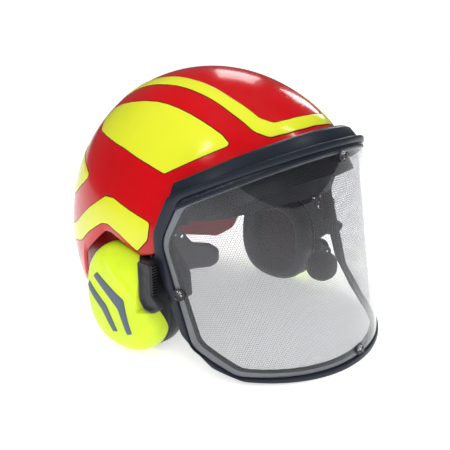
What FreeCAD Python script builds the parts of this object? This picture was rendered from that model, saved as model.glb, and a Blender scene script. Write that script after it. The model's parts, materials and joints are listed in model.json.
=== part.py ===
import FreeCAD, Part
import math
import os

V = FreeCAD.Vector

# Forestry helmet, standing on a table on its visor, ear cups and nape pad.
# Front is -Y, the wearer's left is +X, up is +Z, z = 0 is the table. Millimetres.

# ---- driving dimensions -------------------------------------------------------------------
SHELL_HALF_WIDTH = 108.4
SHELL_HALF_LENGTH = 143.8
SHELL_RISE = 138.3
SHELL_CENTRE = V(0, 3.9, 71.8)
SHELL_WALL = 2.8
LINER_GAP = 1.6
LINER_WALL = 2.4
TRIM_THICKNESS = 0.7

VISOR_RADIUS = 106.6
VISOR_LEAN = 0.17
VISOR_NOSE_Y = -142.8
BROW_STANDOFF = 8.0
BROW_WALL = 3.2
SHIELD_THICKNESS = 1.0
MESH_THICKNESS = 0.2

VISOR_PIVOT = V(0, -12.0, 118.0)
VISOR_ARM_X = 85.6
VISOR_ARM_THICKNESS = 2.6
PIVOT_PIN_RADIUS = 3.0

MUFF_HINGE_X = 98.5
MUFF_HINGE_Z = 82.5
MUFF_KNUCKLE_Y = (-35.6, -29.4)
MUFF_ARM_X = 111.6
MUFF_ARM_THICKNESS = 5.0
MUFF_ARM_Y = (-43.5, -30.0)
MUFF_ARM_Z = (48.0, 85.0)

CUP_CENTRE = V(0, 0.5, 43.4)
CUP_HALF_LENGTH = 40.0
CUP_HALF_HEIGHT = 43.4
CUP_SQUARENESS = 2.4
CUP_BASE_X = 94.0
CUP_DEPTH = 25.0
CUP_WALL = 2.4
SEAL_DEPTH = 16.0
CUP_NOTCH_X = 107.6
CUP_NOTCH_Y = -28.2
BUTTON_PLACE = (33.0, 20.5)
BUTTON_X = 104.0
BUTTON_RADIUS = 4.5
BOOM_PIVOT_Y = -44.0
BOOM_PIVOT_Z = 40.0
BOOM_RADIUS = 1.5
WINDSCREEN_CENTRE = V(58.0, -71.0, 39.5)
WINDSCREEN_RADIUS = 13.3

HEADBAND_HALF_WIDTH = 77.0
HEADBAND_HALF_LENGTH = 99.0
HEADBAND_WALL = 1.6

REAR_BAND_STEP = 1.9
ADJUSTER_Z = 67.0
KNOB_Y = 106.3

NAPE_CENTRE_Y = 34.0
NAPE_HALF_WIDTH = 73.0
NAPE_HALF_DEPTH = 47.0

FAR = 200.0


# ---- helpers ------------------------------------------------------------------------------
def box(x, y, z):
    """Box between pairs of limits."""
    return Part.makeBox(x[1] - x[0], y[1] - y[0], z[1] - z[0], V(x[0], y[0], z[0]))


def cylinder(radius, start, end):
    """Cylinder from one point to another."""
    axis = end - start
    return Part.makeCylinder(radius, axis.Length, start, axis)


def ellipsoid(half_x, half_y, half_z, centre):
    """Solid ellipsoid, as a sphere stretched along the three axes."""
    stretch = FreeCAD.Matrix()
    stretch.scale(half_x, half_y, half_z)
    stretch.move(centre)
    return Part.makeSphere(1.0).transformGeometry(stretch)


def mirrored(shape):
    """The same piece on the other side of the head."""
    return shape.mirror(V(0, 0, 0), V(1, 0, 0))


def both_sides(shape):
    return Part.makeCompound([shape, mirrored(shape)])


def corner_trims(points):
    """Per corner: the point, unit vectors to its neighbours, the rounding radius and the length it takes."""
    corners = []
    for i, point in enumerate(points):
        here = V(point[0], point[1], 0)
        before = V(points[i - 1][0], points[i - 1][1], 0) - here
        after = V(points[(i + 1) % len(points)][0], points[(i + 1) % len(points)][1], 0) - here
        radius = point[2] if len(point) > 2 else 0.0
        half = before.getAngle(after) / 2
        if radius > 0:
            trim = min(radius / math.tan(half), 0.48 * before.Length, 0.48 * after.Length)
            radius = trim * math.tan(half)
        else:
            trim = 0.0
        corners.append((here, before.normalize(), after.normalize(), half, radius, trim))
    return corners


def rounded_wire(points, plane_point):
    """Closed wire of straight lines whose corners are rounded; a point is (a, b) or (a, b, radius)."""
    edges = []
    joints = []
    for here, before, after, half, radius, trim in corner_trims(points):
        start = here + before * trim
        end = here + after * trim
        joints.append((start, end))
        if trim > 0:
            middle = here + (before + after).normalize() * (radius / math.sin(half) - radius)
            edges.append(Part.Arc(plane_point(start), plane_point(middle), plane_point(end)).toShape())
    for (_, end), (start, _) in zip(joints, joints[1:] + joints[:1]):
        edges.append(Part.LineSegment(plane_point(end), plane_point(start)).toShape())
    return Part.Wire(Part.__sortEdges__(edges))


def side_prism(points, x_from=-FAR, x_to=FAR):
    """A side-view outline, points (y, z) or (y, z, radius), pulled straight through from x_from to x_to."""
    wire = rounded_wire(points, lambda p: V(x_from, p.x, p.y))
    return Part.Face(wire).extrude(V(x_to - x_from, 0, 0))


def top_prism(points, z_from, z_to):
    """A plan-view outline, points (x, y) or (x, y, radius), pulled straight up."""
    wire = rounded_wire(points, lambda p: V(p.x, p.y, z_from))
    return Part.Face(wire).extrude(V(0, 0, z_to - z_from))


def grown(points, amount, centre):
    """The outline moved away from a centre by an amount, corner by corner."""
    result = []
    for point in points:
        away = V(point[0] - centre[0], point[1] - centre[1], 0).normalize()
        result.append((point[0] + away.x * amount, point[1] + away.y * amount, *point[2:]))
    return result


def dome(offset):
    """The shell's outer surface, moved outwards by offset."""
    return ellipsoid(SHELL_HALF_WIDTH + offset, SHELL_HALF_LENGTH + offset, SHELL_RISE + offset,
                     SHELL_CENTRE)


def dome_layer(low, high):
    """A layer that follows the shell, between two offsets from its outer surface."""
    return dome(high).cut(dome(low))


def dome_half_width(y, z, offset=0.0):
    """Half-width of the offset dome at a point of the side view."""
    along = (y - SHELL_CENTRE.y) / (SHELL_HALF_LENGTH + offset)
    up = (z - SHELL_CENTRE.z) / (SHELL_RISE + offset)
    return (SHELL_HALF_WIDTH + offset) * math.sqrt(max(0.0, 1 - along ** 2 - up ** 2))


def keep_solids(shape, smallest=1.0):
    """Only the real solids of a result, as one shape."""
    solids = [s for s in shape.Solids if s.Volume > smallest]
    return solids[0] if len(solids) == 1 else Part.makeCompound(solids)


def export(name, shape):
    result = keep_solids(shape)
    result.exportStep("parts/" + name + ".step")
    limits = result.optimalBoundingBox(False, False)
    print(f"{name:24s} solids {len(result.Solids)} valid {result.isValid()} volume {result.Volume:10.0f}"
          f"  x {limits.XMin:7.1f} {limits.XMax:7.1f}  y {limits.YMin:7.1f} {limits.YMax:7.1f}"
          f"  z {limits.ZMin:7.1f} {limits.ZMax:7.1f}")


LINER_INNER = -SHELL_WALL - LINER_GAP - LINER_WALL


# ---- shell --------------------------------------------------------------------------------
SHELL_RIM = [(-FAR, 240), (-FAR, 213), (-47, 127.5, 6), (-40, 101, 15), (-39.5, 88, 2), (-21, 82.5, 6),
             (12, 93, 8), (21, 93, 10), (55, 67, 12), (65, 36, 12), (80, 25, 12), (FAR, 24), (FAR, 240)]
LINER_RIM = [(-FAR, 240), (-FAR, 183), (-48, 107, 8), (-30, 128, 8), (12, 128, 10), (48, 90, 14),
             (72, 55, 12), (90, 44, 12), (FAR, 44), (FAR, 240)]
SIDE_PANEL = [(-67.8, 163, 1.6), (-31.5, 142.3, 2.5), (-15, 147, 50), (14, 154, 60), (42, 158, 60),
              (64, 160.2, 8),
              (74.5, 167.6, 4), (67, 175.6, 12), (54, 180.2, 50), (38, 183.5, 50), (20, 185.8, 50),
              (5, 186.4, 50),
              (-7, 185.5, 50), (-19.5, 183.3, 50), (-30.5, 180.5, 50), (-41, 177, 50), (-51, 173, 40),
              (-60, 168.7, 20)]
LOWER_STRIPE = [(-28, 108.4, 3), (-27.6, 96, 4), (-19, 86.2, 2), (0, 94.8, 40), (15, 99.4, 10), (24, 98, 12),
                (44, 86.2, 60), (60, 74, 30), (100, 62, 40), (160, 58), (160, 71), (100, 75, 40),
                (71.5, 86.6, 40),
                (44, 105.8, 60), (22, 118.6, 6), (12, 119, 5)]
REAR_PANEL = [(54.5, 127.6, 2.5), (64, 120.8, 8), (90, 104, 30), (180, 96), (180, 148), (95, 140, 30),
              (70, 132.4, 10)]
CROWN_OUTER_HALF = [(33, 112, 3), (40.6, 48, 60), (44.3, 15, 60), (46.2, -22, 60), (47, -55, 60),
                    (45.6, -76, 14),
                    (40, -85.5, 10), (27, -91.4, 40), (10.5, -95, 60)]
CROWN_INNER_HALF = [(23, 114), (32.7, 28, 60), (36.2, -10, 60), (38.2, -48, 40), (36.5, -73, 8),
                    (31, -81.5, 8),
                    (19.5, -85.4, 40), (5, -87.4, 60)]


def mirrored_outline(half):
    """A plan-view outline closed over the middle of the head."""
    return half + [(-x, *rest) for x, *rest in reversed(half)]


def outer_shell():
    return dome_layer(-SHELL_WALL, 0).common(side_prism(SHELL_RIM))


def arm_sweep():
    """Room inside the shells for the visor arms as they swing up."""
    reach = 64.0
    room = Part.makeCompound([])
    for side in (-1, 1):
        start = V(side * (VISOR_ARM_X - 0.5), VISOR_PIVOT.y, VISOR_PIVOT.z)
        disc = cylinder(reach, start, start + V(side * (VISOR_ARM_THICKNESS + 1.2), 0, 0))
        room.add(disc.common(box((-FAR, FAR), (-FAR, VISOR_PIVOT.y), (0, 140))))
    return room


def inner_shell():
    top = -SHELL_WALL - LINER_GAP
    return dome_layer(top - LINER_WALL, top).common(side_prism(LINER_RIM)).cut(arm_sweep())


def trim(outline):
    """A coloured inlay that lies on the shell inside an outline or prism."""
    return dome_layer(0.05, 0.05 + TRIM_THICKNESS).common(outline)


def crown_stripe():
    outer = top_prism(mirrored_outline(CROWN_OUTER_HALF), 100, 240)
    return trim(outer.cut(top_prism(mirrored_outline(CROWN_INNER_HALF), 90, 250)))


def right_side(points):
    return side_prism(points, -FAR, -20)


def shell_screws():
    """Right-hand pan-head screws: two through the side carrier, two through the muff bracket."""
    screws = []
    for y, z, head_x, tip_x in ((-18.0, 138.5, 79.2, 86.6), (6.0, 138.5, 79.2, 86.6),
                                (-32.0, 96.0, 95.2, 101.0),
                                (-16.0, 94.0, 96.2, 103.0)):
        head = cylinder(3.2, V(-head_x, y, z), V(-head_x - 1.8, y, z))
        stem = cylinder(1.5, V(-head_x - 1.8, y, z), V(-tip_x, y, z))
        screws.append(head.fuse(stem))
    return Part.makeCompound(screws)


# ---- inner harness ------------------------------------------------------------------------
def oval_column(grow, z_from, z_to):
    """Upright oval column the size of the head, grown by an amount."""
    edge = Part.Ellipse(V(0, 0, z_from), HEADBAND_HALF_LENGTH + grow, HEADBAND_HALF_WIDTH + grow).toShape()
    edge.rotate(V(0, 0, z_from), V(0, 0, 1), 90)
    return Part.Face(Part.Wire([edge])).extrude(V(0, 0, z_to - z_from))


def head_ring(grow, wall, z_from, z_to):
    """An upright oval ring around the head."""
    return oval_column(grow + wall, z_from, z_to).cut(oval_column(grow, z_from, z_to))


HEADBAND_FRONT = [(-150, 163), (-150, 138), (-60, 108, 10), (2, 100, 6), (2, 118, 6), (-60, 132, 20)]
HEADBAND_REAR = [(6, 101), (30, 86, 12), (60, 62, 14), (150, 44), (150, 62), (60, 84, 14), (30, 104, 12),
                 (6, 117)]


def headband_front():
    return head_ring(0, HEADBAND_WALL, 90, 175).common(side_prism(HEADBAND_FRONT))


def sweatband():
    pad = [(-150, 166), (-150, 135), (-60, 110, 8), (-40, 106, 6), (-40, 128, 6), (-60, 134, 10)]
    return head_ring(-5.2, 4.8, 90, 175).common(side_prism(pad))


def suspension_straps():
    """Two textile straps that cross under the crown and one that runs around the front."""
    layer = dome_layer(-27.0, -25.4)
    across = box((-95, 95), (-14, 8), (132, 230))
    along = box((-11, 11), (-80, 84), (132, 230))
    return layer.common(across.fuse(along))


def harness_clips():
    """Clips between the straps' ends and the inner shell, and one behind the forehead."""
    clips = []
    gap_layer = dome_layer(-25.35, LINER_INNER - 0.05)
    for x, y, wide_x, wide_y in ((0, -80, 18, 8), (0, 85, 18, 8), (-72, -3, 8, 18), (72, -3, 8, 18)):
        sides = (x - wide_x / 2, x + wide_x / 2), (y - wide_y / 2, y + wide_y / 2)
        clips.append(gap_layer.common(box(*sides, (126, 176))))
    forehead = box((-10, 10), (-112, -90), (142, 156)).common(dome(LINER_INNER - 0.05))
    clips.append(forehead.cut(oval_column(HEADBAND_WALL + 0.02, 130, 170)))
    return Part.makeCompound(clips)


def side_carrier():
    """Right-hand plate that carries the visor pivot, screwed to the inner shell above the arm's sweep."""
    inner = -VISOR_ARM_X + 4.5
    plate = side_prism([(-26, 88, 8), (2, 88, 8), (14, 104, 8), (14, 142, 4), (-26, 142, 4)], inner - 4.0,
                       inner)
    pad = box((-95, inner), (-26, 14), (134.5, 142))
    boss = cylinder(3.0, V(inner, 6, 110), V(-HEADBAND_HALF_WIDTH - HEADBAND_WALL, 6, 110))
    body = plate.fuse(pad).common(dome(LINER_INNER - 0.1)).fuse(boss.cut(oval_column(HEADBAND_WALL + 0.02,
                                                                                     90, 130)))
    bore = cylinder(PIVOT_PIN_RADIUS, V(-FAR, VISOR_PIVOT.y, VISOR_PIVOT.z),
                    V(-60, VISOR_PIVOT.y, VISOR_PIVOT.z))
    return body.removeSplitter().cut(bore)


def pivot_pin():
    """Right-hand pin with a head on each side of the carrier and the visor arm."""
    def along(x_from, x_to, radius):
        return cylinder(radius, V(-x_from, VISOR_PIVOT.y, VISOR_PIVOT.z),
                        V(-x_to, VISOR_PIVOT.y, VISOR_PIVOT.z))
    inner_face = VISOR_ARM_X - 4.5
    outer_face = VISOR_ARM_X + VISOR_ARM_THICKNESS
    shaft = along(inner_face, outer_face + 0.3, PIVOT_PIN_RADIUS - 0.05)
    heads = along(inner_face - 1.4, inner_face, 5.0).fuse(along(outer_face + 0.3, outer_face + 1.7, 5.0))
    return shaft.fuse(heads)


def muff_bracket():
    """Right-hand plate fixed inside the shell's front tip, with two hinge ears inside the shell's edge."""
    axis_z = MUFF_HINGE_Z
    low, high = MUFF_KNUCKLE_Y
    plate = dome_layer(-SHELL_WALL - 3.0, -SHELL_WALL - 0.05).common(
        side_prism([(-38.2, 86.5, 1), (-26.4, 86.5, 1), (-8, 92, 6), (-8, 104, 6), (-38.2, 104, 6)], -FAR,
                   -20))
    ears = []
    for y in ((low - 2.8, low - 0.3), (high + 0.3, high + 2.8)):
        ears.append(cylinder(3.0, V(-MUFF_HINGE_X, y[0], axis_z), V(-MUFF_HINGE_X, y[1], axis_z)))
        ears.append(box((-MUFF_HINGE_X - 3.0, -MUFF_HINGE_X + 3.0), y, (axis_z, 92)))
    ears = ears[0].fuse(ears[1:]).common(dome(-SHELL_WALL - 0.1))
    bore = cylinder(1.5, V(-MUFF_HINGE_X, -60, axis_z), V(-MUFF_HINGE_X, 0, axis_z))
    return plate.fuse(ears).removeSplitter().cut(bore)


def muff_hinge_pin():
    low, high = MUFF_KNUCKLE_Y
    return cylinder(1.48, V(-MUFF_HINGE_X, low - 2.8, MUFF_HINGE_Z),
                    V(-MUFF_HINGE_X, high + 2.8, MUFF_HINGE_Z))


# ---- size adjuster and nape pad -----------------------------------------------------------
def nape_ring(grow, wall, z_from, z_to):
    def oval(extra):
        edge = Part.Ellipse(V(0, NAPE_CENTRE_Y, z_from), NAPE_HALF_WIDTH + extra,
                            NAPE_HALF_DEPTH + extra).toShape()
        return Part.Face(Part.Wire([edge])).extrude(V(0, 0, z_to - z_from))
    return oval(grow + wall).cut(oval(grow))


def front_prism(points, y_from, y_to):
    """A front-view outline, points (x, z) or (x, z, radius), pulled along Y."""
    wire = rounded_wire(points, lambda p: V(p.x, y_from, p.y))
    return Part.Face(wire).extrude(V(0, y_to - y_from, 0))


NAPE_OUTLINE = [(-65, 0, 10), (65, 0, 10), (65, 21, 8), (57, 27.5, 8), (42, 30, 5), (36, 38, 5), (28, 50, 6),
                (-28, 50, 6), (-36, 38, 5), (-42, 30, 5), (-57, 27.5, 8), (-65, 21, 8)]
NAPE_HOLES = ((-31, 38.5), (-24, 42), (-16.5, 44), (-8.5, 45), (0, 45), (8.5, 45), (16.5, 44), (24, 42),
              (31, 38.5))


def nape_pad():
    """Soft pad under the shell's back edge: two wings, and an upper web with a row of holes."""
    pad = nape_ring(0, 6.0, -1, 60).common(front_prism(NAPE_OUTLINE, 50, 140))
    for x, z in NAPE_HOLES:
        half_x, half_y = NAPE_HALF_WIDTH + 3, NAPE_HALF_DEPTH + 3
        rise = math.sqrt(1 - (x / half_x) ** 2)
        y = NAPE_CENTRE_Y + half_y * rise
        outward = V(x / half_x ** 2, rise / half_y, 0).normalize()
        pad = pad.cut(cylinder(1.7, V(x, y, z) - outward * 8, V(x, y, z) + outward * 8))
    return pad


def headband_rear():
    """Rear half of the headband, sliding inside the front half, with the yoke that holds the nape pad."""
    band = head_ring(-REAR_BAND_STEP, HEADBAND_WALL, 40, 125).common(side_prism(HEADBAND_REAR))
    band = band.cut(box((-FAR, FAR), (-FAR, 6), (0, 200)))
    yoke = nape_ring(0, 15.6, 50.2, 58.0).common(box((-24, 24), (60, 140), (50, 58)))
    for x in (-18, 18):
        yoke = yoke.fuse(nape_ring(6.05, 1.55, 30, 58).common(box((x - 5, x + 5), (60, 140), (30, 58))))
    return band.fuse(yoke).removeSplitter()


def ratchet_housing():
    """Box behind the rear band that holds the knob's pinion and the racks."""
    z = ADJUSTER_Z
    band = oval_column(HEADBAND_WALL - REAR_BAND_STEP + 0.02, 0, 120)
    body = box((-26, 26), (84, 106), (z - 8.7, z + 8.7)).cut(band)
    body = body.cut(box((-22, 22), (100.4, 104.2), (z - 6.4, z + 6.4)))
    return body.cut(cylinder(2.5, V(0, 100, z), V(0, 110, z)))


def size_racks():
    """Two toothed strips above and below the pinion."""
    strips = []
    for up in (-1, 1):
        limits = sorted((ADJUSTER_Z + up * 4.9, ADJUSTER_Z + up * 6.35))
        strip = box((-21.9, 21.9), (101.0, 103.6), limits)
        for i in range(21):
            tooth = sorted((ADJUSTER_Z + up * 3.9, ADJUSTER_Z + up * 4.95))
            strip = strip.fuse(box((-20.4 + 2 * i, -19.4 + 2 * i), (101.0, 103.6), tooth))
        strips.append(strip)
    return Part.makeCompound(strips)


def adjustment_knob():
    """Scalloped knob with its shaft and pinion in one piece."""
    z = ADJUSTER_Z
    knob = cylinder(13.0, V(0, KNOB_Y, z), V(0, KNOB_Y + 9.0, z))
    for i in range(14):
        angle = 2 * math.pi * i / 14
        place = V(14.6 * math.cos(angle), KNOB_Y - 1, z + 14.6 * math.sin(angle))
        knob = knob.cut(cylinder(2.4, place, place + V(0, 11, 0)))
    shaft = cylinder(2.45, V(0, 100.9, z), V(0, KNOB_Y, z))
    pinion = cylinder(3.0, V(0, 101.0, z), V(0, 103.6, z))
    for i in range(10):
        tooth = box((-0.45, 0.45), (101.0, 103.6), (z + 2.6, z + 3.7))
        tooth.rotate(V(0, 0, z), V(0, 1, 0), 36 * i)
        pinion = pinion.fuse(tooth)
    return knob.fuse([shaft, pinion]).removeSplitter()


# ---- visor --------------------------------------------------------------------------------
def visor_solid(offset):
    """The leaning cylinder that the visor is bent around, grown by offset."""
    lean = math.atan(VISOR_LEAN)
    axis_y = VISOR_NOSE_Y + VISOR_RADIUS / math.cos(lean)
    direction = V(0, math.sin(lean), math.cos(lean))
    start = V(0, axis_y, 0) - direction * 60
    return Part.makeCylinder(VISOR_RADIUS + offset, 330, start, direction)


def visor_layer(low, high):
    return visor_solid(high).cut(visor_solid(low))


FRAME_OUTLINE = [(-FAR, 208), (-47.5, 131.5, 8), (-36.5, 103, 22), (-39.5, 84, 22), (-60, 33, 14),
                 (-82, 12, 16),
                 (-101, 3.6, 14), (-FAR, -6)]
SHIELD_OUTLINE = [(-FAR, 202.5), (-56, 130.5, 10), (-43.5, 99, 20), (-67.5, 25.5, 14), (-97, 6.9, 14),
                  (-FAR, 0.5)]
OPENING_OUTLINE = [(-FAR, 199), (-59.5, 124.5, 10), (-48, 97, 16), (-72, 29, 14), (-98, 11.2, 14), (-FAR, 3)]
ABOVE_TABLE = [(-FAR, 0), (FAR, 0), (FAR, 240), (-FAR, 240)]
BROW_SEAT = [(-FAR, 202.8), (-51.5, 128.55), (-51.5, 240), (-FAR, 240)]


def visor_frame():
    rim = visor_layer(-3.0, 3.4).common(side_prism(FRAME_OUTLINE).cut(side_prism(SHIELD_OUTLINE)))
    flange = visor_layer(-1.4, 0.8).common(side_prism(FRAME_OUTLINE).cut(side_prism(OPENING_OUTLINE)))
    ring = rim.fuse(flange).common(side_prism(ABOVE_TABLE)).cut(side_prism(BROW_SEAT, -102.5, 102.5))
    ring = ring.cut(box((-103.5, 103.5), (-43, -30), (78, 112)))
    for side, z in STUD_SITES:
        place, outward = stud_frame(side, z)
        ring = ring.cut(cylinder(4.75, place, place + outward * 6))
    return ring


def brow_point(turn):
    """Upper edge of the brow bar: the dome moved outwards, met by a leaning plane."""
    half_span = SHELL_HALF_WIDTH * 0.835
    x = half_span * math.sin(math.radians(turn * 80)) / math.sin(math.radians(80))
    low, high = -170.0, SHELL_CENTRE.y
    for _ in range(50):
        y = (low + high) / 2
        z = 173.0 - 0.56 * (y + 106.0)
        if dome_half_width(y, z, BROW_STANDOFF) > abs(x):
            high = y
        else:
            low = y
    return V(x, y, z)


def brow_section(turn):
    """Cross-section of the brow bar at turn, -1 at the right shoulder to 1 at the left."""
    angle = math.radians(68.5 * turn)
    lean = math.atan(VISOR_LEAN)

    def on_visor(radius, top_line):
        z = 150.0
        for _ in range(30):
            axis_y = VISOR_NOSE_Y + VISOR_LEAN * z + VISOR_RADIUS / math.cos(lean)
            y = axis_y - radius / math.cos(lean) * math.cos(angle)
            z = top_line - 0.5 * (y + 58.0)
        return V(radius * math.sin(angle), y, z)

    upper = brow_point(turn)
    lower = on_visor(VISOR_RADIUS + 3.4, 132.0)
    inner_lower = on_visor(VISOR_RADIUS - 1.4, 132.6)
    inner_upper = upper + (inner_lower - lower).normalize() * BROW_WALL
    return Part.makePolygon([upper, lower, inner_lower, inner_upper, upper])


def brow_bar():
    sections = [brow_section(step / 8.0) for step in range(-8, 9)]
    return Part.makeLoft(sections, True, False)


def clear_shield():
    return visor_layer(1.4, 1.4 + SHIELD_THICKNESS).common(side_prism(grown(SHIELD_OUTLINE, -0.6,
                                                                            (-110, 80))))


def visor_mesh():
    return visor_layer(-1.9, -1.9 + MESH_THICKNESS).common(side_prism(grown(OPENING_OUTLINE, 3.0,
                                                                            (-110, 80))))


def mesh_retainer():
    ring = side_prism(grown(OPENING_OUTLINE, 3.5, (-110, 80))).cut(side_prism(grown(OPENING_OUTLINE, 0.3,
                                                                                    (-110, 80))))
    return visor_layer(-3.2, -2.0).common(ring)


def visor_arm():
    """Right-hand arm: an inner plate from the pivot, and a web that reaches out to the frame."""
    inner = -VISOR_ARM_X
    outer = -VISOR_ARM_X - VISOR_ARM_THICKNESS
    y, z = VISOR_PIVOT.y, VISOR_PIVOT.z
    plate = side_prism([(y + 9, z - 6, 6), (y + 9, z + 8, 6), (y - 8, z + 8, 6), (-36, 91, 14), (-52, 73, 4),
                        (-53.5, 54, 4), (-46, 54, 4), (-42, 68, 6), (-27, 86, 12)], outer, inner)
    web = side_prism([(-53.3, 55, 2), (-47, 55, 2), (-45.5, 71, 2), (-51.5, 71, 2)], -103.6, outer + 0.5)
    bore = cylinder(PIVOT_PIN_RADIUS, V(-FAR, y, z), V(0, y, z))
    return plate.fuse(web).removeSplitter().cut(bore)


STUD_SITES = ((0.0, 154.0), (0.0, 9.6), (1.0, 63.0), (-1.0, 63.0))


def stud_frame(side, z):
    """Position on the shield's outer face and outward direction, for a stud at a height."""
    lean = math.atan(VISOR_LEAN)
    angle = math.radians(78.0 * side) if side else 0.0
    radius = VISOR_RADIUS + 1.4 + SHIELD_THICKNESS
    axis_y = VISOR_NOSE_Y + VISOR_LEAN * z + VISOR_RADIUS / math.cos(lean)
    if side:
        y = -58.5
        x = math.sqrt(radius ** 2 - ((axis_y - y) * math.cos(lean)) ** 2) * side
        outward = V(x, (y - axis_y) * math.cos(lean) ** 2, (axis_y - y) * math.cos(lean) * math.sin(lean))
    else:
        x, y = 0.0, axis_y - radius / math.cos(lean)
        outward = V(0, -math.cos(lean), math.sin(lean))
    return V(x, y, z), outward.normalize()


def shield_studs():
    studs = []
    for side, z in STUD_SITES:
        place, outward = stud_frame(side, z)
        studs.append(cylinder(3.4, place + outward * 0.9, place + outward * 3.0))
    return Part.makeCompound(studs)


def stud_washers():
    washers = []
    for side, z in STUD_SITES:
        place, outward = stud_frame(side, z)
        washers.append(cylinder(4.6, place + outward * 0.1, place + outward * 0.9))
    return Part.makeCompound(washers)


# ---- ear muff (right-hand side) -----------------------------------------------------------
def cup_outline(scale, x):
    """Squared oval wire in a side-view plane at x."""
    points = []
    steps = 32
    for i in range(steps):
        angle = 2 * math.pi * i / steps
        c, s = math.cos(angle), math.sin(angle)
        radius = (abs(c) ** CUP_SQUARENESS + abs(s) ** CUP_SQUARENESS) ** (-1 / CUP_SQUARENESS)
        points.append(V(x, CUP_CENTRE.y + CUP_HALF_LENGTH * scale * radius * c,
                        CUP_CENTRE.z + CUP_HALF_HEIGHT * scale * radius * s))
    curve = Part.BSplineCurve()
    curve.interpolate(Points=points, PeriodicFlag=True)
    return Part.Wire([curve.toShape()])


def cup_loft(profile):
    """Solid through (scale, depth beyond the base plane) sections."""
    return Part.makeLoft([cup_outline(scale, -CUP_BASE_X - depth) for scale, depth in profile], True, False)


CUP_PROFILE = ((0.985, 0.0), (1.0, 3.5), (0.985, 8.5), (0.945, 14.0), (0.86, 20.0), (0.69, 24.2),
               (0.4, CUP_DEPTH + 1.0))


def cup_shell():
    """Hollow cup with a recess in its front flank that clears the muff arm."""
    outside = cup_loft(CUP_PROFILE).cut(notch(0.0))
    hollow = cup_loft([(scale - 0.06, depth - (0.2 if depth == 0 else CUP_WALL * depth / CUP_DEPTH))
                       for scale, depth in CUP_PROFILE])
    return outside.cut(hollow.cut(notch(CUP_WALL)))


def notch(wall):
    """Space around the muff arm, in which the slider travels, grown by a wall."""
    return box((-FAR, -CUP_NOTCH_X + wall), (-FAR, CUP_NOTCH_Y + wall), (MUFF_ARM_Z[0] - 3.0 - wall, FAR))


def cup_base_plate():
    ring = Part.makeLoft([cup_outline(0.985, -CUP_BASE_X + 0.05), cup_outline(0.985, -CUP_BASE_X + 2.2)],
                         True, True)
    hole = Part.makeLoft([cup_outline(0.62, -CUP_BASE_X - 1), cup_outline(0.62, -CUP_BASE_X + 4)], True,
                         True)
    return ring.cut(hole)


def ear_seal():
    start = -CUP_BASE_X + 2.3
    sections = ((0.965, 0.0), (0.985, 5.0), (0.965, 10.0), (0.91, 14.0), (0.80, SEAL_DEPTH))
    outside = Part.makeLoft([cup_outline(scale, start + depth) for scale, depth in sections], True, False)
    hole = Part.makeLoft([cup_outline(0.60, start - 1), cup_outline(0.58, start + SEAL_DEPTH + 2)], True,
                         True)
    return outside.cut(hole)


def cup_foam():
    """Foam lining on the floor of the cup, open towards the ear."""
    return Part.makeLoft([cup_outline(0.60, -CUP_BASE_X + 0.5), cup_outline(0.70, -CUP_BASE_X - 4)], True,
                         True)


def speaker():
    middle = V(-CUP_BASE_X - 4.2, CUP_CENTRE.y, CUP_CENTRE.z)
    body = cylinder(18.0, middle, middle + V(-4.5, 0, 0))
    return body.fuse(cylinder(11.0, middle + V(-4.5, 0, 0), middle + V(-7.0, 0, 0)))


CHEVRONS = (
    [(14.6, 64.5, 1.5), (-15.5, 50.5, 4), (-22.5, 25, 1.2), (-17.6, 22.8, 1), (-9.2, 41.5, 8),
     (19.3, 60.5, 1)],
    [(26, 54.2, 1), (4.5, 40, 4), (-7, 22.2, 1), (-3.5, 21.4, 1), (8.6, 37, 6), (28.4, 51.5, 1)],
)


def cup_stripes():
    """Two grey bent bars inlaid on the cup's outer face."""
    skin = cup_loft([(scale + 0.012, depth + (0.0 if depth == 0 else 0.55)) for scale, depth in CUP_PROFILE])
    body = cup_loft([(scale + 0.001, depth + (-0.1 if depth == 0 else 0.06)) for scale,
                     depth in CUP_PROFILE])
    layer = skin.cut(body)
    bars = [side_prism(outline, -FAR, -CUP_BASE_X - 9) for outline in CHEVRONS]
    return layer.common(bars[0].fuse(bars[1]))


def muff_arm():
    """Right-hand arm: a knuckle on the hinge pin, a bridge under the shell, and a bar beside the cup."""
    y_low, y_high = MUFF_ARM_Y
    low, high = MUFF_KNUCKLE_Y
    x_in, x_out = -MUFF_ARM_X, -MUFF_ARM_X - MUFF_ARM_THICKNESS
    knuckle = cylinder(3.0, V(-MUFF_HINGE_X, low, MUFF_HINGE_Z), V(-MUFF_HINGE_X, high, MUFF_HINGE_Z))
    bridge = box((x_in, -MUFF_HINGE_X), MUFF_KNUCKLE_Y, (MUFF_HINGE_Z - 3.0, MUFF_HINGE_Z - 0.5))
    z_low, z_high = MUFF_ARM_Z
    bar = side_prism([(y_high, z_high, 3), (y_low, z_high, 3), (y_low, z_low + 12, 4),
                      (y_low - 7, z_low + 9, 2.5),
                      (y_low - 6.5, z_low + 4, 3), (y_low + 1, z_low, 5), (y_high - 4, z_low, 5),
                      (y_high, z_low + 8, 8)], x_out, x_in)
    shape = knuckle.fuse([bridge, bar]).removeSplitter()
    shape = shape.cut(cylinder(1.53, V(-MUFF_HINGE_X, -60, MUFF_HINGE_Z), V(-MUFF_HINGE_X, 0, MUFF_HINGE_Z)))
    return shape.cut(slider_rib(0.25, 53.0, MUFF_ARM_Z[1] - 4.0))


def slider_rib(clearance, z_from, z_to):
    """T-shaped rib that runs in the arm's groove."""
    y = (MUFF_ARM_Y[0] + MUFF_ARM_Y[1]) / 2
    neck = box((-MUFF_ARM_X - 1.2, -MUFF_ARM_X + 1.0), (y - 1.3 - clearance, y + 1.3 + clearance),
               (z_from, z_to))
    head = box((-MUFF_ARM_X - 2.6 - clearance, -MUFF_ARM_X - 1.0 + clearance),
               (y - 2.4 - clearance, y + 2.4 + clearance), (z_from, z_to))
    return neck.fuse(head)


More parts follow.
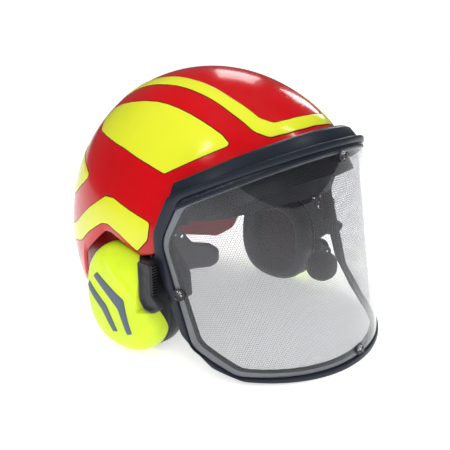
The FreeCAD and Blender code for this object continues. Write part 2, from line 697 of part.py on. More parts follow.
def arm_rack():
    """Toothed strip along the arm's front edge."""
    x = (-MUFF_ARM_X - 4.4, -MUFF_ARM_X - 0.6)
    y_root = MUFF_ARM_Y[0] - 0.02
    z_low, z_high = 62.5, 84.5
    rack = box(x, (y_root - 1.2, y_root), (z_low, z_high))
    pitch = 2.0
    for i in range(11):
        z = z_low + pitch * i
        rack = rack.fuse(box(x, (y_root - 2.4, y_root - 1.2), (z + 0.4, z + 1.4)))
    return rack


def muff_slider():
    """Block fixed on the recess's floor that rides on the arm's inner face."""
    outline = [(-39.5, 56, 2), (-30.5, 56, 2), (-30.5, 73, 2), (-39.5, 73, 2)]
    block = side_prism(outline, -MUFF_ARM_X + 0.3, -CUP_NOTCH_X - 0.02)
    return block.fuse(slider_rib(0.0, 63.0, 73.0)).removeSplitter()


# ---- electronics --------------------------------------------------------------------------
def button_axis(outward):
    """Point on the control button's axis, an amount beyond the cup's flank."""
    direction = V(0, BUTTON_PLACE[0] - CUP_CENTRE.y, BUTTON_PLACE[1] - CUP_CENTRE.z).normalize()
    return V(-BUTTON_X, BUTTON_PLACE[0], BUTTON_PLACE[1]) + direction * outward


def control_button():
    cap = cylinder(BUTTON_RADIUS, button_axis(-6.0), button_axis(3.2))
    return cap.fuse(cylinder(BUTTON_RADIUS + 1.2, button_axis(-7.0), button_axis(-5.8))).removeSplitter()


def circuit_board():
    return box((-107.0, -105.4), (-16, 16), (28, 60))


def battery():
    return box((-112.4, -107.1), (-14, 14), (32, 56))


def boom_pivot():
    """Left-hand boss on the cup's front flank, with the pin that the boom turns on."""
    disc = cylinder(6.5, V(97.2, BOOM_PIVOT_Y, BOOM_PIVOT_Z), V(101.5, BOOM_PIVOT_Y, BOOM_PIVOT_Z))
    foot = box((97.2, 101.5), (BOOM_PIVOT_Y, -34), (BOOM_PIVOT_Z - 6.5, BOOM_PIVOT_Z + 6.5))
    body = disc.fuse(foot).cut(mirrored(cup_loft([(scale + 0.001, depth) for scale, depth in CUP_PROFILE])))
    pin = cylinder(1.95, V(91.4, BOOM_PIVOT_Y, BOOM_PIVOT_Z), V(97.2, BOOM_PIVOT_Y, BOOM_PIVOT_Z))
    head = cylinder(3.0, V(90.4, BOOM_PIVOT_Y, BOOM_PIVOT_Z), V(91.4, BOOM_PIVOT_Y, BOOM_PIVOT_Z))
    return keep_solids(body.fuse([pin, head]).removeSplitter())


BOOM_PATH = ((94.3, -46.0, 41.0), (90.0, -50.0, 43.0), (80.0, -60.0, 48.0), (71.0, -68.5, 51.5),
             (65.0, -73.5, 51.0),
             (60.5, -73.5, 47.0), (58.5, -71.5, 41.0))


def mic_boom():
    """Thin bent rod from its hub on the left cup to the middle of the windscreen."""
    hub = cylinder(4.2, V(91.6, BOOM_PIVOT_Y, BOOM_PIVOT_Z), V(97.0, BOOM_PIVOT_Y, BOOM_PIVOT_Z))
    curve = Part.BSplineCurve()
    curve.interpolate([V(*point) for point in BOOM_PATH])
    path = Part.Wire([curve.toShape()])
    start = V(*BOOM_PATH[0])
    circle = Part.Wire([Part.Circle(start, curve.tangent(0.0)[0], BOOM_RADIUS).toShape()])
    rod = path.makePipeShell([circle], True, False)
    bore = cylinder(2.0, V(80, BOOM_PIVOT_Y, BOOM_PIVOT_Z), V(99, BOOM_PIVOT_Y, BOOM_PIVOT_Z))
    return hub.fuse(rod).cut(bore)


def mic_windscreen(boom):
    """Foam ball pushed over the boom's end."""
    ball = Part.makeSphere(WINDSCREEN_RADIUS, WINDSCREEN_CENTRE)
    return ball.cut(boom)


def main():
    os.makedirs("parts", exist_ok=True)
    screws = both_sides(shell_screws())
    washers = stud_washers()
    frame = visor_frame()
    export("outer_shell", outer_shell().cut(screws))
    export("inner_shell", inner_shell().cut(screws))
    export("crown_stripe", crown_stripe())
    panel = trim(right_side(SIDE_PANEL))
    export("side_panel_right", panel)
    export("side_panel_left", mirrored(panel))
    export("lower_stripe", trim(side_prism(LOWER_STRIPE)))
    export("rear_panel", trim(side_prism(REAR_PANEL)))
    export("suspension_straps", suspension_straps())
    export("headband_front", headband_front())
    export("sweatband", sweatband())
    export("harness_clips", harness_clips())
    export("pivot_pins", both_sides(pivot_pin()))
    export("muff_hinge_pins", both_sides(muff_hinge_pin()))
    export("shell_screws", screws)
    export("headband_rear", headband_rear())
    export("nape_pad", nape_pad())
    export("ratchet_housing", ratchet_housing())
    export("size_racks", size_racks())
    export("adjustment_knob", adjustment_knob())
    export("visor_frame", frame)
    export("brow_bar", brow_bar())
    export("clear_shield", clear_shield())
    export("visor_mesh", visor_mesh())
    export("mesh_retainer", mesh_retainer())
    export("shield_studs", shield_studs())
    export("stud_washers", washers)
    for side, turn in (("right", lambda shape: shape), ("left", mirrored)):
        export("side_carrier_" + side, turn(side_carrier().cut(screws)))
        export("muff_bracket_" + side, turn(muff_bracket().cut(screws)))
        export("visor_arm_" + side, turn(visor_arm().cut(frame)))
        export("muff_arm_" + side, turn(muff_arm()))
        export("arm_rack_" + side, turn(arm_rack()))
        export("muff_slider_" + side, turn(muff_slider()))
        shell = cup_shell()
        if side == "right":
            shell = shell.cut(cylinder(BUTTON_RADIUS + 0.08, button_axis(-5.0), button_axis(20.0)))
        export("cup_shell_" + side, turn(shell))
        export("cup_stripes_" + side, turn(cup_stripes()))
        export("cup_base_plate_" + side, turn(cup_base_plate()))
        export("ear_seal_" + side, turn(ear_seal()))
        export("cup_foam_" + side, turn(cup_foam()))
        export("speaker_" + side, turn(speaker()))
    export("control_button", control_button())
    export("circuit_board", circuit_board())
    export("battery", battery())
    export("boom_pivot", boom_pivot())
    boom = mic_boom()
    export("mic_boom", boom)
    export("mic_windscreen", mic_windscreen(boom))


main()
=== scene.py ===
import json
import math

import bmesh
import bpy
import numpy as np
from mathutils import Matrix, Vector, geometry


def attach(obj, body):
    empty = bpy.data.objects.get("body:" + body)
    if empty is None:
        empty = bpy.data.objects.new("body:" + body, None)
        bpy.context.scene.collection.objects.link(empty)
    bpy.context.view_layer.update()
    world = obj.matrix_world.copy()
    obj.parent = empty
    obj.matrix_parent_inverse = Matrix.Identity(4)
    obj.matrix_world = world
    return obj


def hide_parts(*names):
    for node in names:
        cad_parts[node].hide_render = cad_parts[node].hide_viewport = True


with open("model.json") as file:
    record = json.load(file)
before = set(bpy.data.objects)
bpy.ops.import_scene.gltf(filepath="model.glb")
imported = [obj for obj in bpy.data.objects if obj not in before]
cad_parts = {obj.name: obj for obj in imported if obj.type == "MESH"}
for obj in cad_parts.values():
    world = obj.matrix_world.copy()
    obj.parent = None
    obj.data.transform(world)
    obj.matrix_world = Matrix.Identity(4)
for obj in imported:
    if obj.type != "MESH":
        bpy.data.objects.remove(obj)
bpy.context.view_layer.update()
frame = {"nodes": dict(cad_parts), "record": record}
NODES = frame["nodes"]

# Forestry helmet. Lengths below are millimetres in the row frame: front -Y, wearer's left +X, up +Z.
MM = 0.001
ROW_PITCH = 0.866  # of a triangular lattice, as a share of its spacing

SHELL_AXES = np.array([108.4, 143.8, 138.3])
SHELL_CENTRE = np.array([0.0, 3.9, 71.8])
SHELL_WALL = 2.8

VISOR_RADIUS = 106.6
VISOR_SLOPE = 0.17
VISOR_NOSE_Y = -142.8
LEAN_SIN, LEAN_COS = math.sin(math.atan(VISOR_SLOPE)), math.cos(math.atan(VISOR_SLOPE))
VISOR_AXIS_Y = VISOR_NOSE_Y + VISOR_RADIUS / LEAN_COS

CUP_CENTRE = np.array([0.5, 43.4])
CUP_HALF = np.array([39.6, 42.5])
CUP_BASE_X = 94.0


# ---- materials ----
class Shader:
    """A Principled material and short ways to add noise, colour and bump nodes to it."""

    def __init__(self, name, colour, roughness, **extra):
        self.material = bpy.data.materials.new(name)
        self.material.use_nodes = True
        self.tree = self.material.node_tree
        self.surface = self.tree.nodes["Principled BSDF"]
        self.material.diffuse_color = (*colour, 1.0)
        self.set("Base Color", (*colour, 1.0))
        self.set("Roughness", roughness)
        for key, value in extra.items():
            self.set(key.replace("_", " "), value)
        self.coordinates = self.tree.nodes.new("ShaderNodeTexCoord")
        self.last_bump = None

    def set(self, socket, value):
        self.surface.inputs[socket].default_value = value

    def node(self, kind, **values):
        made = self.tree.nodes.new(kind)
        for key, value in values.items():
            if key in made.inputs.keys():
                made.inputs[key].default_value = value
            else:
                setattr(made, key, value)
        return made

    def link(self, output, target):
        self.tree.links.new(output, target)

    def noise(self, scale, detail=3.0, stretch=(1.0, 1.0, 1.0)):
        mapping = self.node("ShaderNodeMapping")
        mapping.inputs["Scale"].default_value = stretch
        noise = self.node("ShaderNodeTexNoise", Scale=scale, Detail=detail)
        self.link(self.coordinates.outputs["Object"], mapping.inputs["Vector"])
        self.link(mapping.outputs["Vector"], noise.inputs["Vector"])
        return noise.outputs["Fac"]

    def cells(self, scale):
        cells = self.node("ShaderNodeTexVoronoi", Scale=scale)
        self.link(self.coordinates.outputs["Object"], cells.inputs["Vector"])
        return cells.outputs["Distance"]

    def weave(self, threads_per_m):
        """Over-and-under pattern of two crossed sets of threads."""
        waves = []
        for direction in ("X", "Z"):
            wave = self.node("ShaderNodeTexWave", Scale=threads_per_m, Distortion=0.4)
            wave.bands_direction = direction
            self.link(self.coordinates.outputs["Object"], wave.inputs["Vector"])
            waves.append(wave.outputs["Fac"])
        product = self.node("ShaderNodeMath", operation="MULTIPLY")
        self.link(waves[0], product.inputs[0])
        self.link(waves[1], product.inputs[1])
        return product.outputs[0]

    def bump(self, height, strength, distance):
        bump = self.node("ShaderNodeBump", Strength=strength, Distance=distance)
        self.link(height, bump.inputs["Height"])
        if self.last_bump:
            self.link(self.last_bump.outputs["Normal"], bump.inputs["Normal"])
        self.link(bump.outputs["Normal"], self.surface.inputs["Normal"])
        self.last_bump = bump
        return self

    def vary(self, socket, factor, low, high):
        """The socket runs between two numbers or colours as the factor goes from 0.3 to 0.7."""
        ramp = self.node("ShaderNodeValToRGB")
        ends = [v if isinstance(v, tuple) else (v, v, v) for v in (low, high)]
        for element, place, value in zip(ramp.color_ramp.elements, (0.3, 0.7), ends):
            element.position = place
            element.color = (*value, 1.0)
        self.link(factor, ramp.inputs["Fac"])
        self.link(ramp.outputs["Color"], self.surface.inputs[socket])
        return self


def gloss_plastic(name, colour, shade):
    made = Shader(name, colour, 0.14, Coat_Weight=0.2, Coat_Roughness=0.04, Coat_IOR=1.5)
    made.vary("Base Color", made.noise(22.0, 2.0), shade, colour)
    made.vary("Roughness", made.noise(160.0, 4.0), 0.13, 0.22)
    return made.bump(made.noise(420.0, 2.0), 0.05, 0.0004).material


def satin_plastic(name, colour, roughness=0.42, grain=2600.0, depth=0.12):
    made = Shader(name, colour, roughness, Specular_IOR_Level=0.35)
    lighter = tuple(min(1.0, c * 1.18 + 0.002) for c in colour)
    made.vary("Base Color", made.noise(35.0, 5.0), colour, lighter)
    made.vary("Roughness", made.noise(90.0, 5.0), roughness - 0.05, roughness + 0.08)
    return made.bump(made.noise(grain, 2.0), depth, 0.0002).material


def textile(name, colour, threads=900.0):
    made = Shader(name, colour, 0.85, Sheen_Weight=0.35, Sheen_Roughness=0.5)
    weave = made.weave(threads)
    made.vary("Base Color", weave, tuple(c * 0.6 for c in colour), tuple(c * 1.35 for c in colour))
    return made.bump(weave, 0.5, 0.0003).bump(made.noise(60.0, 4.0), 0.2, 0.001).material


def foam(name, colour, cell=900.0):
    made = Shader(name, colour, 0.95, Sheen_Weight=0.25, Sheen_Roughness=0.6)
    cells = made.cells(cell)
    made.vary("Base Color", cells, tuple(c * 0.45 for c in colour), tuple(c * 1.5 for c in colour))
    return made.bump(cells, 0.9, 0.0006).bump(made.noise(140.0, 5.0), 0.3, 0.0015).material


def soft_skin(name, colour, roughness=0.45):
    made = Shader(name, colour, roughness, Sheen_Weight=0.1)
    made.vary("Roughness", made.noise(80.0, 4.0), roughness - 0.07, roughness + 0.1)
    return made.bump(made.cells(1300.0), 0.12, 0.0002).bump(made.noise(45.0, 3.0), 0.15, 0.0012).material


def steel(name, colour=(0.60, 0.61, 0.63), roughness=0.28):
    made = Shader(name, colour, roughness, Metallic=1.0)
    made.vary("Roughness", made.noise(500.0, 4.0, (1.0, 1.0, 14.0)), roughness - 0.08, roughness + 0.1)
    return made.bump(made.noise(900.0, 3.0, (1.0, 1.0, 12.0)), 0.08, 0.0001).material


def clear_plastic(name, tint, roughness, ior):
    made = Shader(name, tint, roughness, Transmission_Weight=1.0, IOR=ior)
    return made.bump(made.noise(9.0, 2.0), 0.03, 0.0006).material


MATERIAL_TABLE = (
    (gloss_plastic, "gloss_red", (0.62, 0.0, 0.004), (0.54, 0.0, 0.003)),
    (gloss_plastic, "signal_yellow", (0.80, 0.83, 0.03), (0.74, 0.79, 0.02)),
    (satin_plastic, "cup_yellow", (0.62, 0.80, 0.02), 0.34, 1800.0, 0.05),
    (satin_plastic, "black_liner", (0.014, 0.014, 0.017), 0.38),
    (textile, "strap_textile", (0.030, 0.030, 0.034)),
    (satin_plastic, "band_grey", (0.035, 0.035, 0.042), 0.5),
    (textile, "sweatband_cloth", (0.035, 0.034, 0.040), 1200.0),
    (satin_plastic, "carrier_plastic", (0.018, 0.018, 0.021), 0.45),
    (steel, "fastener_steel"),
    (soft_skin, "pad_rubber", (0.055, 0.055, 0.068), 0.6),
    (satin_plastic, "visor_plastic", (0.013, 0.017, 0.027), 0.33, 2000.0, 0.06),
    (clear_plastic, "clear_sheet", (0.98, 0.985, 1.0), 0.02, 1.4),
    (steel, "mesh_steel", (0.11, 0.11, 0.125), 0.45),
    (clear_plastic, "stud_clear", (0.75, 0.73, 0.76), 0.12, 1.45),
    (satin_plastic, "washer_grey", (0.05, 0.05, 0.055), 0.4),
    (satin_plastic, "chevron_grey", (0.085, 0.115, 0.165), 0.42),
    (soft_skin, "seal_skin", (0.012, 0.013, 0.018), 0.38),
    (foam, "foam_brown", (0.045, 0.022, 0.020), 500.0),
    (satin_plastic, "speaker_black", (0.01, 0.01, 0.01), 0.5),
    (satin_plastic, "arm_grey", (0.022, 0.023, 0.028), 0.42),
    (satin_plastic, "rack_black", (0.006, 0.006, 0.008), 0.4),
    (soft_skin, "button_green", (0.010, 0.060, 0.030), 0.5),
    (satin_plastic, "board_green", (0.010, 0.120, 0.045), 0.4),
    (steel, "cell_silver", (0.62, 0.62, 0.64), 0.35),
    (soft_skin, "boom_grey", (0.045, 0.055, 0.040), 0.5),
    (foam, "foam_black", (0.020, 0.017, 0.017), 800.0),
    # pale grey flange: painted reflection, the veil of light that the clear sheet casts over the dark frame
    (satin_plastic, "flange_grey", (0.22, 0.225, 0.255), 0.35),
    # near-black red: painted shade standing for the shadow along the inlays' edges
    (satin_plastic, "gap_dark", (0.020, 0.001, 0.002), 0.5),
)
MATERIALS = {name: maker(name, *values) for maker, name, *values in MATERIAL_TABLE}


def dress_cad_nodes():
    """Every carried-over CAD node takes the procedural material of its record slot, and gets soft edges."""
    for part in frame["record"]["subparts"]:
        node = NODES[part["node"]]
        node.data.materials.clear()
        node.data.materials.append(MATERIALS[part["material_slot"]])
        for polygon in node.data.polygons:
            polygon.use_smooth = True
        edges = node.modifiers.new("soft edges", "BEVEL")
        edges.width = 0.35 * MM
        edges.segments = 2
        edges.limit_method = "ANGLE"
        edges.angle_limit = math.radians(40)
        edges.harden_normals = True


# ---- outlines ----
def corner(point, before, after):
    """Points of one corner of an outline: an arc where it has a radius."""
    here = np.array(point[:2], float)
    radius = point[2] if len(point) > 2 else 0.0
    a = np.array(before[:2], float) - here
    b = np.array(after[:2], float) - here
    length_a, length_b = np.linalg.norm(a), np.linalg.norm(b)
    a, b = a / length_a, b / length_b
    half = math.acos(max(-1.0, min(1.0, float(a @ b)))) / 2
    if radius <= 0 or half > math.radians(89.5):
        return [here]
    trim = min(radius / math.tan(half), 0.48 * length_a, 0.48 * length_b)
    radius = trim * math.tan(half)
    middle = here + (a + b) / np.linalg.norm(a + b) * radius / math.sin(half)
    start, end = here + a * trim - middle, here + b * trim - middle
    turn = math.atan2(start[0] * end[1] - start[1] * end[0], start @ end)
    steps = max(2, int(abs(turn) * radius / 0.8) + 1, int(abs(math.degrees(turn)) / 8))
    arc = []
    for i in range(steps + 1):
        angle = turn * i / steps
        c, s = math.cos(angle), math.sin(angle)
        arc.append(middle + np.array([start[0] * c - start[1] * s, start[0] * s + start[1] * c]))
    return arc


def rounded(points, closed=True, step=1.2):
    """Dense polyline through an outline whose corners are rounded."""
    corners = []
    for i, point in enumerate(points):
        if not closed and i in (0, len(points) - 1):
            corners.append(np.array(point[:2], float))
        else:
            corners.extend(corner(point, points[i - 1], points[(i + 1) % len(points)]))
    return refine(np.array(corners), closed, step)


def refine(line, closed, step):
    """The polyline with its long runs divided."""
    ends = np.roll(line, -1, axis=0) if closed else line[1:]
    result = []
    for start, end in zip(line, ends):
        count = max(1, int(np.linalg.norm(end - start) / step))
        result.extend(start + (end - start) * i / count for i in range(count))
    if not closed:
        result.append(line[-1])
    return np.array(result)


def resample(line, count, closed=False):
    """Evenly spaced points along a polyline of any dimension."""
    if closed:
        line = np.vstack([line, line[:1]])
    lengths = np.concatenate([[0.0], np.cumsum(np.linalg.norm(np.diff(line, axis=0), axis=1))])
    wanted = np.linspace(0.0, lengths[-1], count + 1 if closed else count)
    if closed:
        wanted = wanted[:-1]
    return np.stack([np.interp(wanted, lengths, line[:, k]) for k in range(line.shape[1])], axis=1)


def inset(line, amount):
    """A closed outline moved inwards by an amount along its own normals."""
    tangent = np.roll(line, -1, axis=0) - np.roll(line, 1, axis=0)
    tangent /= np.linalg.norm(tangent, axis=1)[:, None] + 1e-9
    area = np.sum(line[:, 0] * np.roll(line[:, 1], -1) - np.roll(line[:, 0], -1) * line[:, 1])
    normal = np.stack([-tangent[:, 1], tangent[:, 0]], axis=1) * (1 if area > 0 else -1)
    return line + normal * amount


# ---- meshes ----
def make(name, verts, faces, material, body, *replaced):
    """A mesh piece in millimetres that rides on a body and stands for CAD nodes."""
    mesh = bpy.data.meshes.new(name)
    places = [tuple(float(c) * MM for c in v) for v in verts]
    mesh.from_pydata(places, [], [tuple(int(i) for i in f) for f in faces])
    mesh.validate()
    piece = bpy.data.objects.new(name, mesh)
    bpy.context.scene.collection.objects.link(piece)
    work = bmesh.new()
    work.from_mesh(mesh)
    bmesh.ops.remove_doubles(work, verts=work.verts, dist=1e-6)
    bmesh.ops.recalc_face_normals(work, faces=work.faces)
    work.to_mesh(mesh)
    work.free()
    for polygon in mesh.polygons:
        polygon.use_smooth = True
    mesh.materials.append(MATERIALS[material])
    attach(piece, body)
    if replaced:
        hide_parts(*replaced)
    return piece


def bridge(loops, closed_loops=True, closed_stack=False):
    """Vertices and quads through a stack of loops that have equal counts."""
    count = len(loops[0])
    faces = []
    for j in range(len(loops) if closed_stack else len(loops) - 1):
        low, high = j * count, (j + 1) % len(loops) * count
        for i in range(count if closed_loops else count - 1):
            k = (i + 1) % count
            faces.append((low + i, low + k, high + k, high + i))
    return np.vstack(loops), faces


def solid(name, loops, material, body, *replaced, ring=False):
    """A piece through a stack of loops: closed at both ends, or joined round into a ring."""
    verts, faces = bridge(loops, closed_stack=ring)
    if not ring:
        count = len(loops[0])
        faces.append(tuple(range(count))[::-1])
        faces.append(tuple(range(len(verts) - count, len(verts))))
    return make(name, verts, faces, material, body, *replaced)


def dome_point(unit, offset):
    """A point of the shell's surface from its place on a unit sphere, moved outwards."""
    return SHELL_CENTRE + unit * (SHELL_AXES + offset)


def side_unit(p, sign):
    """Place on the unit sphere of a side-view point (y, z)."""
    y, z = (np.array(p) - SHELL_CENTRE[1:]) / SHELL_AXES[1:]
    return np.array([sign * math.sqrt(max(0.0, 1 - y * y - z * z)), y, z])


def side_lift(sign):
    """Function that puts a side-view point (y, z) on the shell's surface."""
    return lambda p, offset: dome_point(side_unit(p, sign), offset)


def plan_lift(p, offset):
    """Plan-view point (x, y) put on the shell's surface."""
    x, y = (np.array(p) - SHELL_CENTRE[:2]) / SHELL_AXES[:2]
    return dome_point(np.array([x, y, math.sqrt(max(0.0, 1 - x * x - y * y))]), offset)


def ring_lift(p, offset):
    """Point (way round from the back times 100, z) put on the shell's surface."""
    turn = p[0] / 100.0
    z = (p[1] - SHELL_CENTRE[2]) / SHELL_AXES[2]
    flat = math.sqrt(max(0.0, 1 - z * z))
    return dome_point(np.array([flat * math.sin(turn), flat * math.cos(turn), z]), offset)


def inner_grid(outline, spacing, margin):
    """Points of a triangular lattice that lie inside an outline, clear of its edge."""
    low, high = outline.min(0), outline.max(0)
    pitch = spacing * ROW_PITCH
    points = []
    for j in range(int((high[1] - low[1]) / pitch) + 1):
        xs = np.arange(low[0] + (j % 2) * spacing / 2, high[0], spacing)
        points.extend((x, low[1] + j * pitch) for x in xs)
    points = np.array(points)
    near = np.array([np.min(np.sum((outline - p) ** 2, axis=1)) for p in points])
    return points[inside(points, outline) & (near > margin ** 2)]


def inside(points, outline):
    """Which points lie inside a closed outline."""
    result = np.zeros(len(points), bool)
    for a, b in zip(outline, np.roll(outline, -1, axis=0)):
        crosses = (a[1] > points[:, 1]) != (b[1] > points[:, 1])
        rise = b[1] - a[1] if b[1] != a[1] else 1e-12
        result ^= crosses & (points[:, 0] < (b[0] - a[0]) * (points[:, 1] - a[1]) / rise + a[0])
    return result


def mirrored(half):
    """Half an outline, its ends put on the middle plane, joined to its mirror image."""
    half = np.array(half)
    half[[0, -1], 0] = 0.0
    other = half[::-1][1:-1].copy()
    other[:, 0] *= -1.0
    return np.vstack([half, other])


# ---- shell ----
SHELL_RIM = [(-200, 213), (-47, 127.5, 6), (-40, 101, 15), (-39.5, 88, 3), (-21, 82.5, 6), (12, 93, 8),
             (21, 93, 10), (55, 67, 12), (65, 36, 12), (80, 25, 12), (200, 24)]
CROWN = np.array([0.0, 0.0, 1.0])
MEAN_RADIUS = 125.0


def shell_rim(count):
    """The shell's lower edge all the way round, on the unit sphere."""
    line = rounded(SHELL_RIM, closed=False, step=0.5)
    units = [unit for unit in (side_unit(p, -1.0) for p in line) if unit[0] < 0.0]
    units[0][0] = 0.0
    units[-1][0] = 0.0
    return mirrored(resample(np.array([unit / np.linalg.norm(unit) for unit in units]), count))


def crown_angle(units):
    """Angle between each unit vector and the crown's."""
    return np.arccos(np.clip(units[:, 2:], -1.0, 1.0))


def towards_pole(units, share):
    """The rim moved a share of the way to the crown."""
    angle = crown_angle(units)
    moved = (np.sin((1 - share) * angle) * units + np.sin(share * angle) * CROWN) / np.sin(angle)
    return moved / np.linalg.norm(moved, axis=1)[:, None]


def along_rim(units, distance):
    """The rim moved up over the surface by a distance in millimetres."""
    return towards_pole(units, distance / (crown_angle(units) * MEAN_RADIUS))


def shell_piece():
    """The red outer shell: a rolled, thickened lower edge and one smooth dome."""
    rim = shell_rim(240)
    inner_shares = (0.97, 0.8, 0.6, 0.42, 0.27, 0.15, 0.07)
    rolled_edge = ((2.5, -SHELL_WALL), (0.4, -SHELL_WALL), (0.0, -2.4), (0.0, -1.9), (0.5, -1.3),
                   (1.6, -0.9), (3.2, -0.5), (4.4, -0.12), (5.4, 0.0))
    loops = [dome_point(towards_pole(rim, share), -SHELL_WALL) for share in inner_shares]
    loops += [dome_point(along_rim(rim, distance), offset) for distance, offset in rolled_edge]
    outer_rows = 44
    start = along_rim(rim, 7.5)
    loops += [dome_point(towards_pole(start, i / outer_rows), 0.0) for i in range(outer_rows)]
    verts, faces = bridge(loops)
    top, count = len(verts), len(rim)
    verts = np.vstack([verts, dome_point(CROWN, 0.0), dome_point(CROWN, -SHELL_WALL)])
    last = top - count
    faces += [(last + i, last + (i + 1) % count, top) for i in range(count)]
    faces += [((i + 1) % count, i, top + 1) for i in range(count)]
    make("shell", verts, faces, "gloss_red", "helmet", "outer_shell")


SIDE_PANEL = [(-67.8, 163, 1.6), (-31.5, 142.3, 2.5), (-15, 147, 50), (14, 154, 60), (42, 158, 60),
              (64, 160.2, 8), (74.5, 167.6, 4), (67, 175.6, 12), (54, 180.2, 50), (38, 183.5, 50),
              (20, 185.8, 50), (5, 186.4, 50), (-7, 185.5, 50), (-19.5, 183.3, 50), (-30.5, 180.5, 50),
              (-41, 177, 50), (-51, 173, 40),
              (-60, 168.7, 20)]
LOWER_STRIPE = [(160, 58), (100, 62, 40), (60, 74, 30), (44, 86.2, 60), (24, 98, 12), (15, 99.4, 10),
                (0, 94.8, 40), (-19, 86.2, 2), (-27.6, 96, 4), (-28, 108.4, 3), (12, 119, 5),
                (22, 118.6, 6), (44, 105.8, 60), (71.5, 86.6, 40), (100, 75, 40), (160, 71)]
REAR_PANEL = [(180, 96), (90, 104, 30), (64, 120.8, 8), (54.5, 127.6, 2.5), (70, 132.4, 10), (95, 140, 30),
              (180, 148)]
CROWN_OUTER_HALF = [(33, 112, 3), (40.6, 48, 60), (44.3, 15, 60), (46.2, -22, 60), (47, -55, 60),
                    (45.6, -76, 14), (40, -85.5, 10), (27, -91.4, 40), (10.5, -95, 60)]
CROWN_INNER_HALF = [(23, 112, 2), (32.7, 28, 60), (36.2, -10, 60), (38.2, -48, 40), (36.5, -73, 8),
                    (31, -81.5, 8), (19.5, -85.4, 40), (5, -87.4, 60)]
CROWN_BAND = (CROWN_OUTER_HALF + [(-x, *rest) for x, *rest in reversed(CROWN_OUTER_HALF)]
              + [(-x, *rest) for x, *rest in CROWN_INNER_HALF] + list(reversed(CROWN_INNER_HALF)))


def wrap_outline(path):
    """A side-view path that runs off the back, closed into one outline around the back."""
    flat = []
    for y, z in rounded(path, closed=False, step=1.0):
        unit_z = (z - SHELL_CENTRE[2]) / SHELL_AXES[2]
        reach = (y - SHELL_CENTRE[1]) / (SHELL_AXES[1] * math.sqrt(1 - unit_z ** 2))
        if reach <= 1.0:
            flat.append((-100.0 * math.acos(reach), z))
    outline = mirrored(flat)
    return resample(outline, max(60, int(len(outline) * 0.9)), closed=True)


def gap_ribbon(name, outline, lift):
    """The dark shadow gap that runs around an inlay."""
    rows = ((-0.55, -0.15), (-0.55, 0.028), (-0.275, 0.07), (0.3, 0.07))
    loops = [np.array([lift(p, offset) for p in inset(outline, amount)]) for amount, offset in rows]
    # the ribbon's near-black red is painted shade along the inlay's edge
    make(name, *bridge(loops), "gap_dark", "helmet")


def shell_inlays():
    """The thin raised yellow inlays, each in a dark ring of painted shade."""
    rows = [(0.0, -0.4), (0.0, 0.18), (0.1, 0.34), (0.4, 0.4)]
    panel = rounded(SIDE_PANEL)
    for name, outline, lift, node in (("side_inlay_right", panel, side_lift(-1.0), "side_panel_right"),
                                      ("side_inlay_left", panel, side_lift(1.0), "side_panel_left"),
                                      ("lower_inlay", wrap_outline(LOWER_STRIPE), ring_lift, "lower_stripe"),
                                      ("rear_inlay", wrap_outline(REAR_PANEL), ring_lift, "rear_panel"),
                                      ("crown_inlay", rounded(CROWN_BAND), plan_lift, "crown_stripe")):
        slab(name, outline, lift, rows, "signal_yellow", "helmet", node, spacing=4.0, clearance=0.45,
             open_below=True)
        gap_ribbon(name.replace("inlay", "gap"), outline, lift)


# ---- visor ----
FRAME_OUTLINE = [(-200, 208), (-47.5, 131.5, 8), (-36.5, 103, 22), (-39.5, 84, 22), (-60, 33, 14),
                 (-82, 12, 16), (-101, 3.6, 14), (-200, -6)]
SHIELD_OUTLINE = [(-200, 202.5), (-56, 130.5, 10), (-43.5, 99, 20), (-67.5, 25.5, 14), (-97, 6.9, 14),
                  (-200, 0.5)]
OPENING_OUTLINE = [(-200, 199), (-59.5, 124.5, 10), (-48, 97, 16), (-72, 29, 14), (-98, 11.2, 14), (-200, 3)]


def visor_point(u, v, offset):
    """Point at u millimetres round the visor and v up its leaning axis, moved outwards."""
    radius = VISOR_RADIUS + offset
    forward = radius * math.cos(u / VISOR_RADIUS)
    return np.array([radius * math.sin(u / VISOR_RADIUS),
                     VISOR_AXIS_Y + v * LEAN_SIN - forward * LEAN_COS,
                     v * LEAN_COS + forward * LEAN_SIN])


def visor_outline(path):
    """A side-view path closed around the front of the visor, in unrolled coordinates."""
    flat = []
    for y, z in rounded(path, closed=False, step=0.8):
        back = y - VISOR_AXIS_Y
        forward = z * LEAN_SIN - back * LEAN_COS
        if forward <= VISOR_RADIUS:
            turn = math.acos(max(-1.0, forward / VISOR_RADIUS))
            flat.append((-VISOR_RADIUS * turn, back * LEAN_SIN + z * LEAN_COS))
    return mirrored(flat)


VISOR_MIDDLE = np.array([0.0, 80.0])
VISOR_COUNT = 420


def visor_loop(path):
    """The outline met by rays from the visor's middle at equal turns, so that outlines can be bridged."""
    away = visor_outline(path) - VISOR_MIDDLE
    turns = np.arctan2(away[:, 1], away[:, 0])
    order = np.argsort(turns)
    turns, away = turns[order], away[order]
    result = []
    for turn in np.linspace(-math.pi, math.pi, VISOR_COUNT, endpoint=False):
        k = np.searchsorted(turns, turn) % len(turns)
        a, b = away[k - 1], away[k]
        ray = np.array([math.cos(turn), math.sin(turn)])
        edge = b - a
        cross = ray[0] * edge[1] - ray[1] * edge[0]
        length = (a[0] * edge[1] - a[1] * edge[0]) / cross if abs(cross) > 1e-9 else np.linalg.norm(b)
        result.append(VISOR_MIDDLE + ray * length)
    return np.array(result)


def visor_surface_loop(flat, offset):
    return np.array([visor_point(u, v, offset) for u, v in flat])


def visor_ring(name, rows, lowest, material):
    """A ring swept round the visor's outline, kept above a lowest height."""
    loops = [visor_surface_loop(flat, offset) for flat, offset in rows]
    for points in loops:
        points[:, 2] = np.maximum(points[:, 2], lowest)
    solid(name, loops, material, "visor", "visor_frame", ring=True)


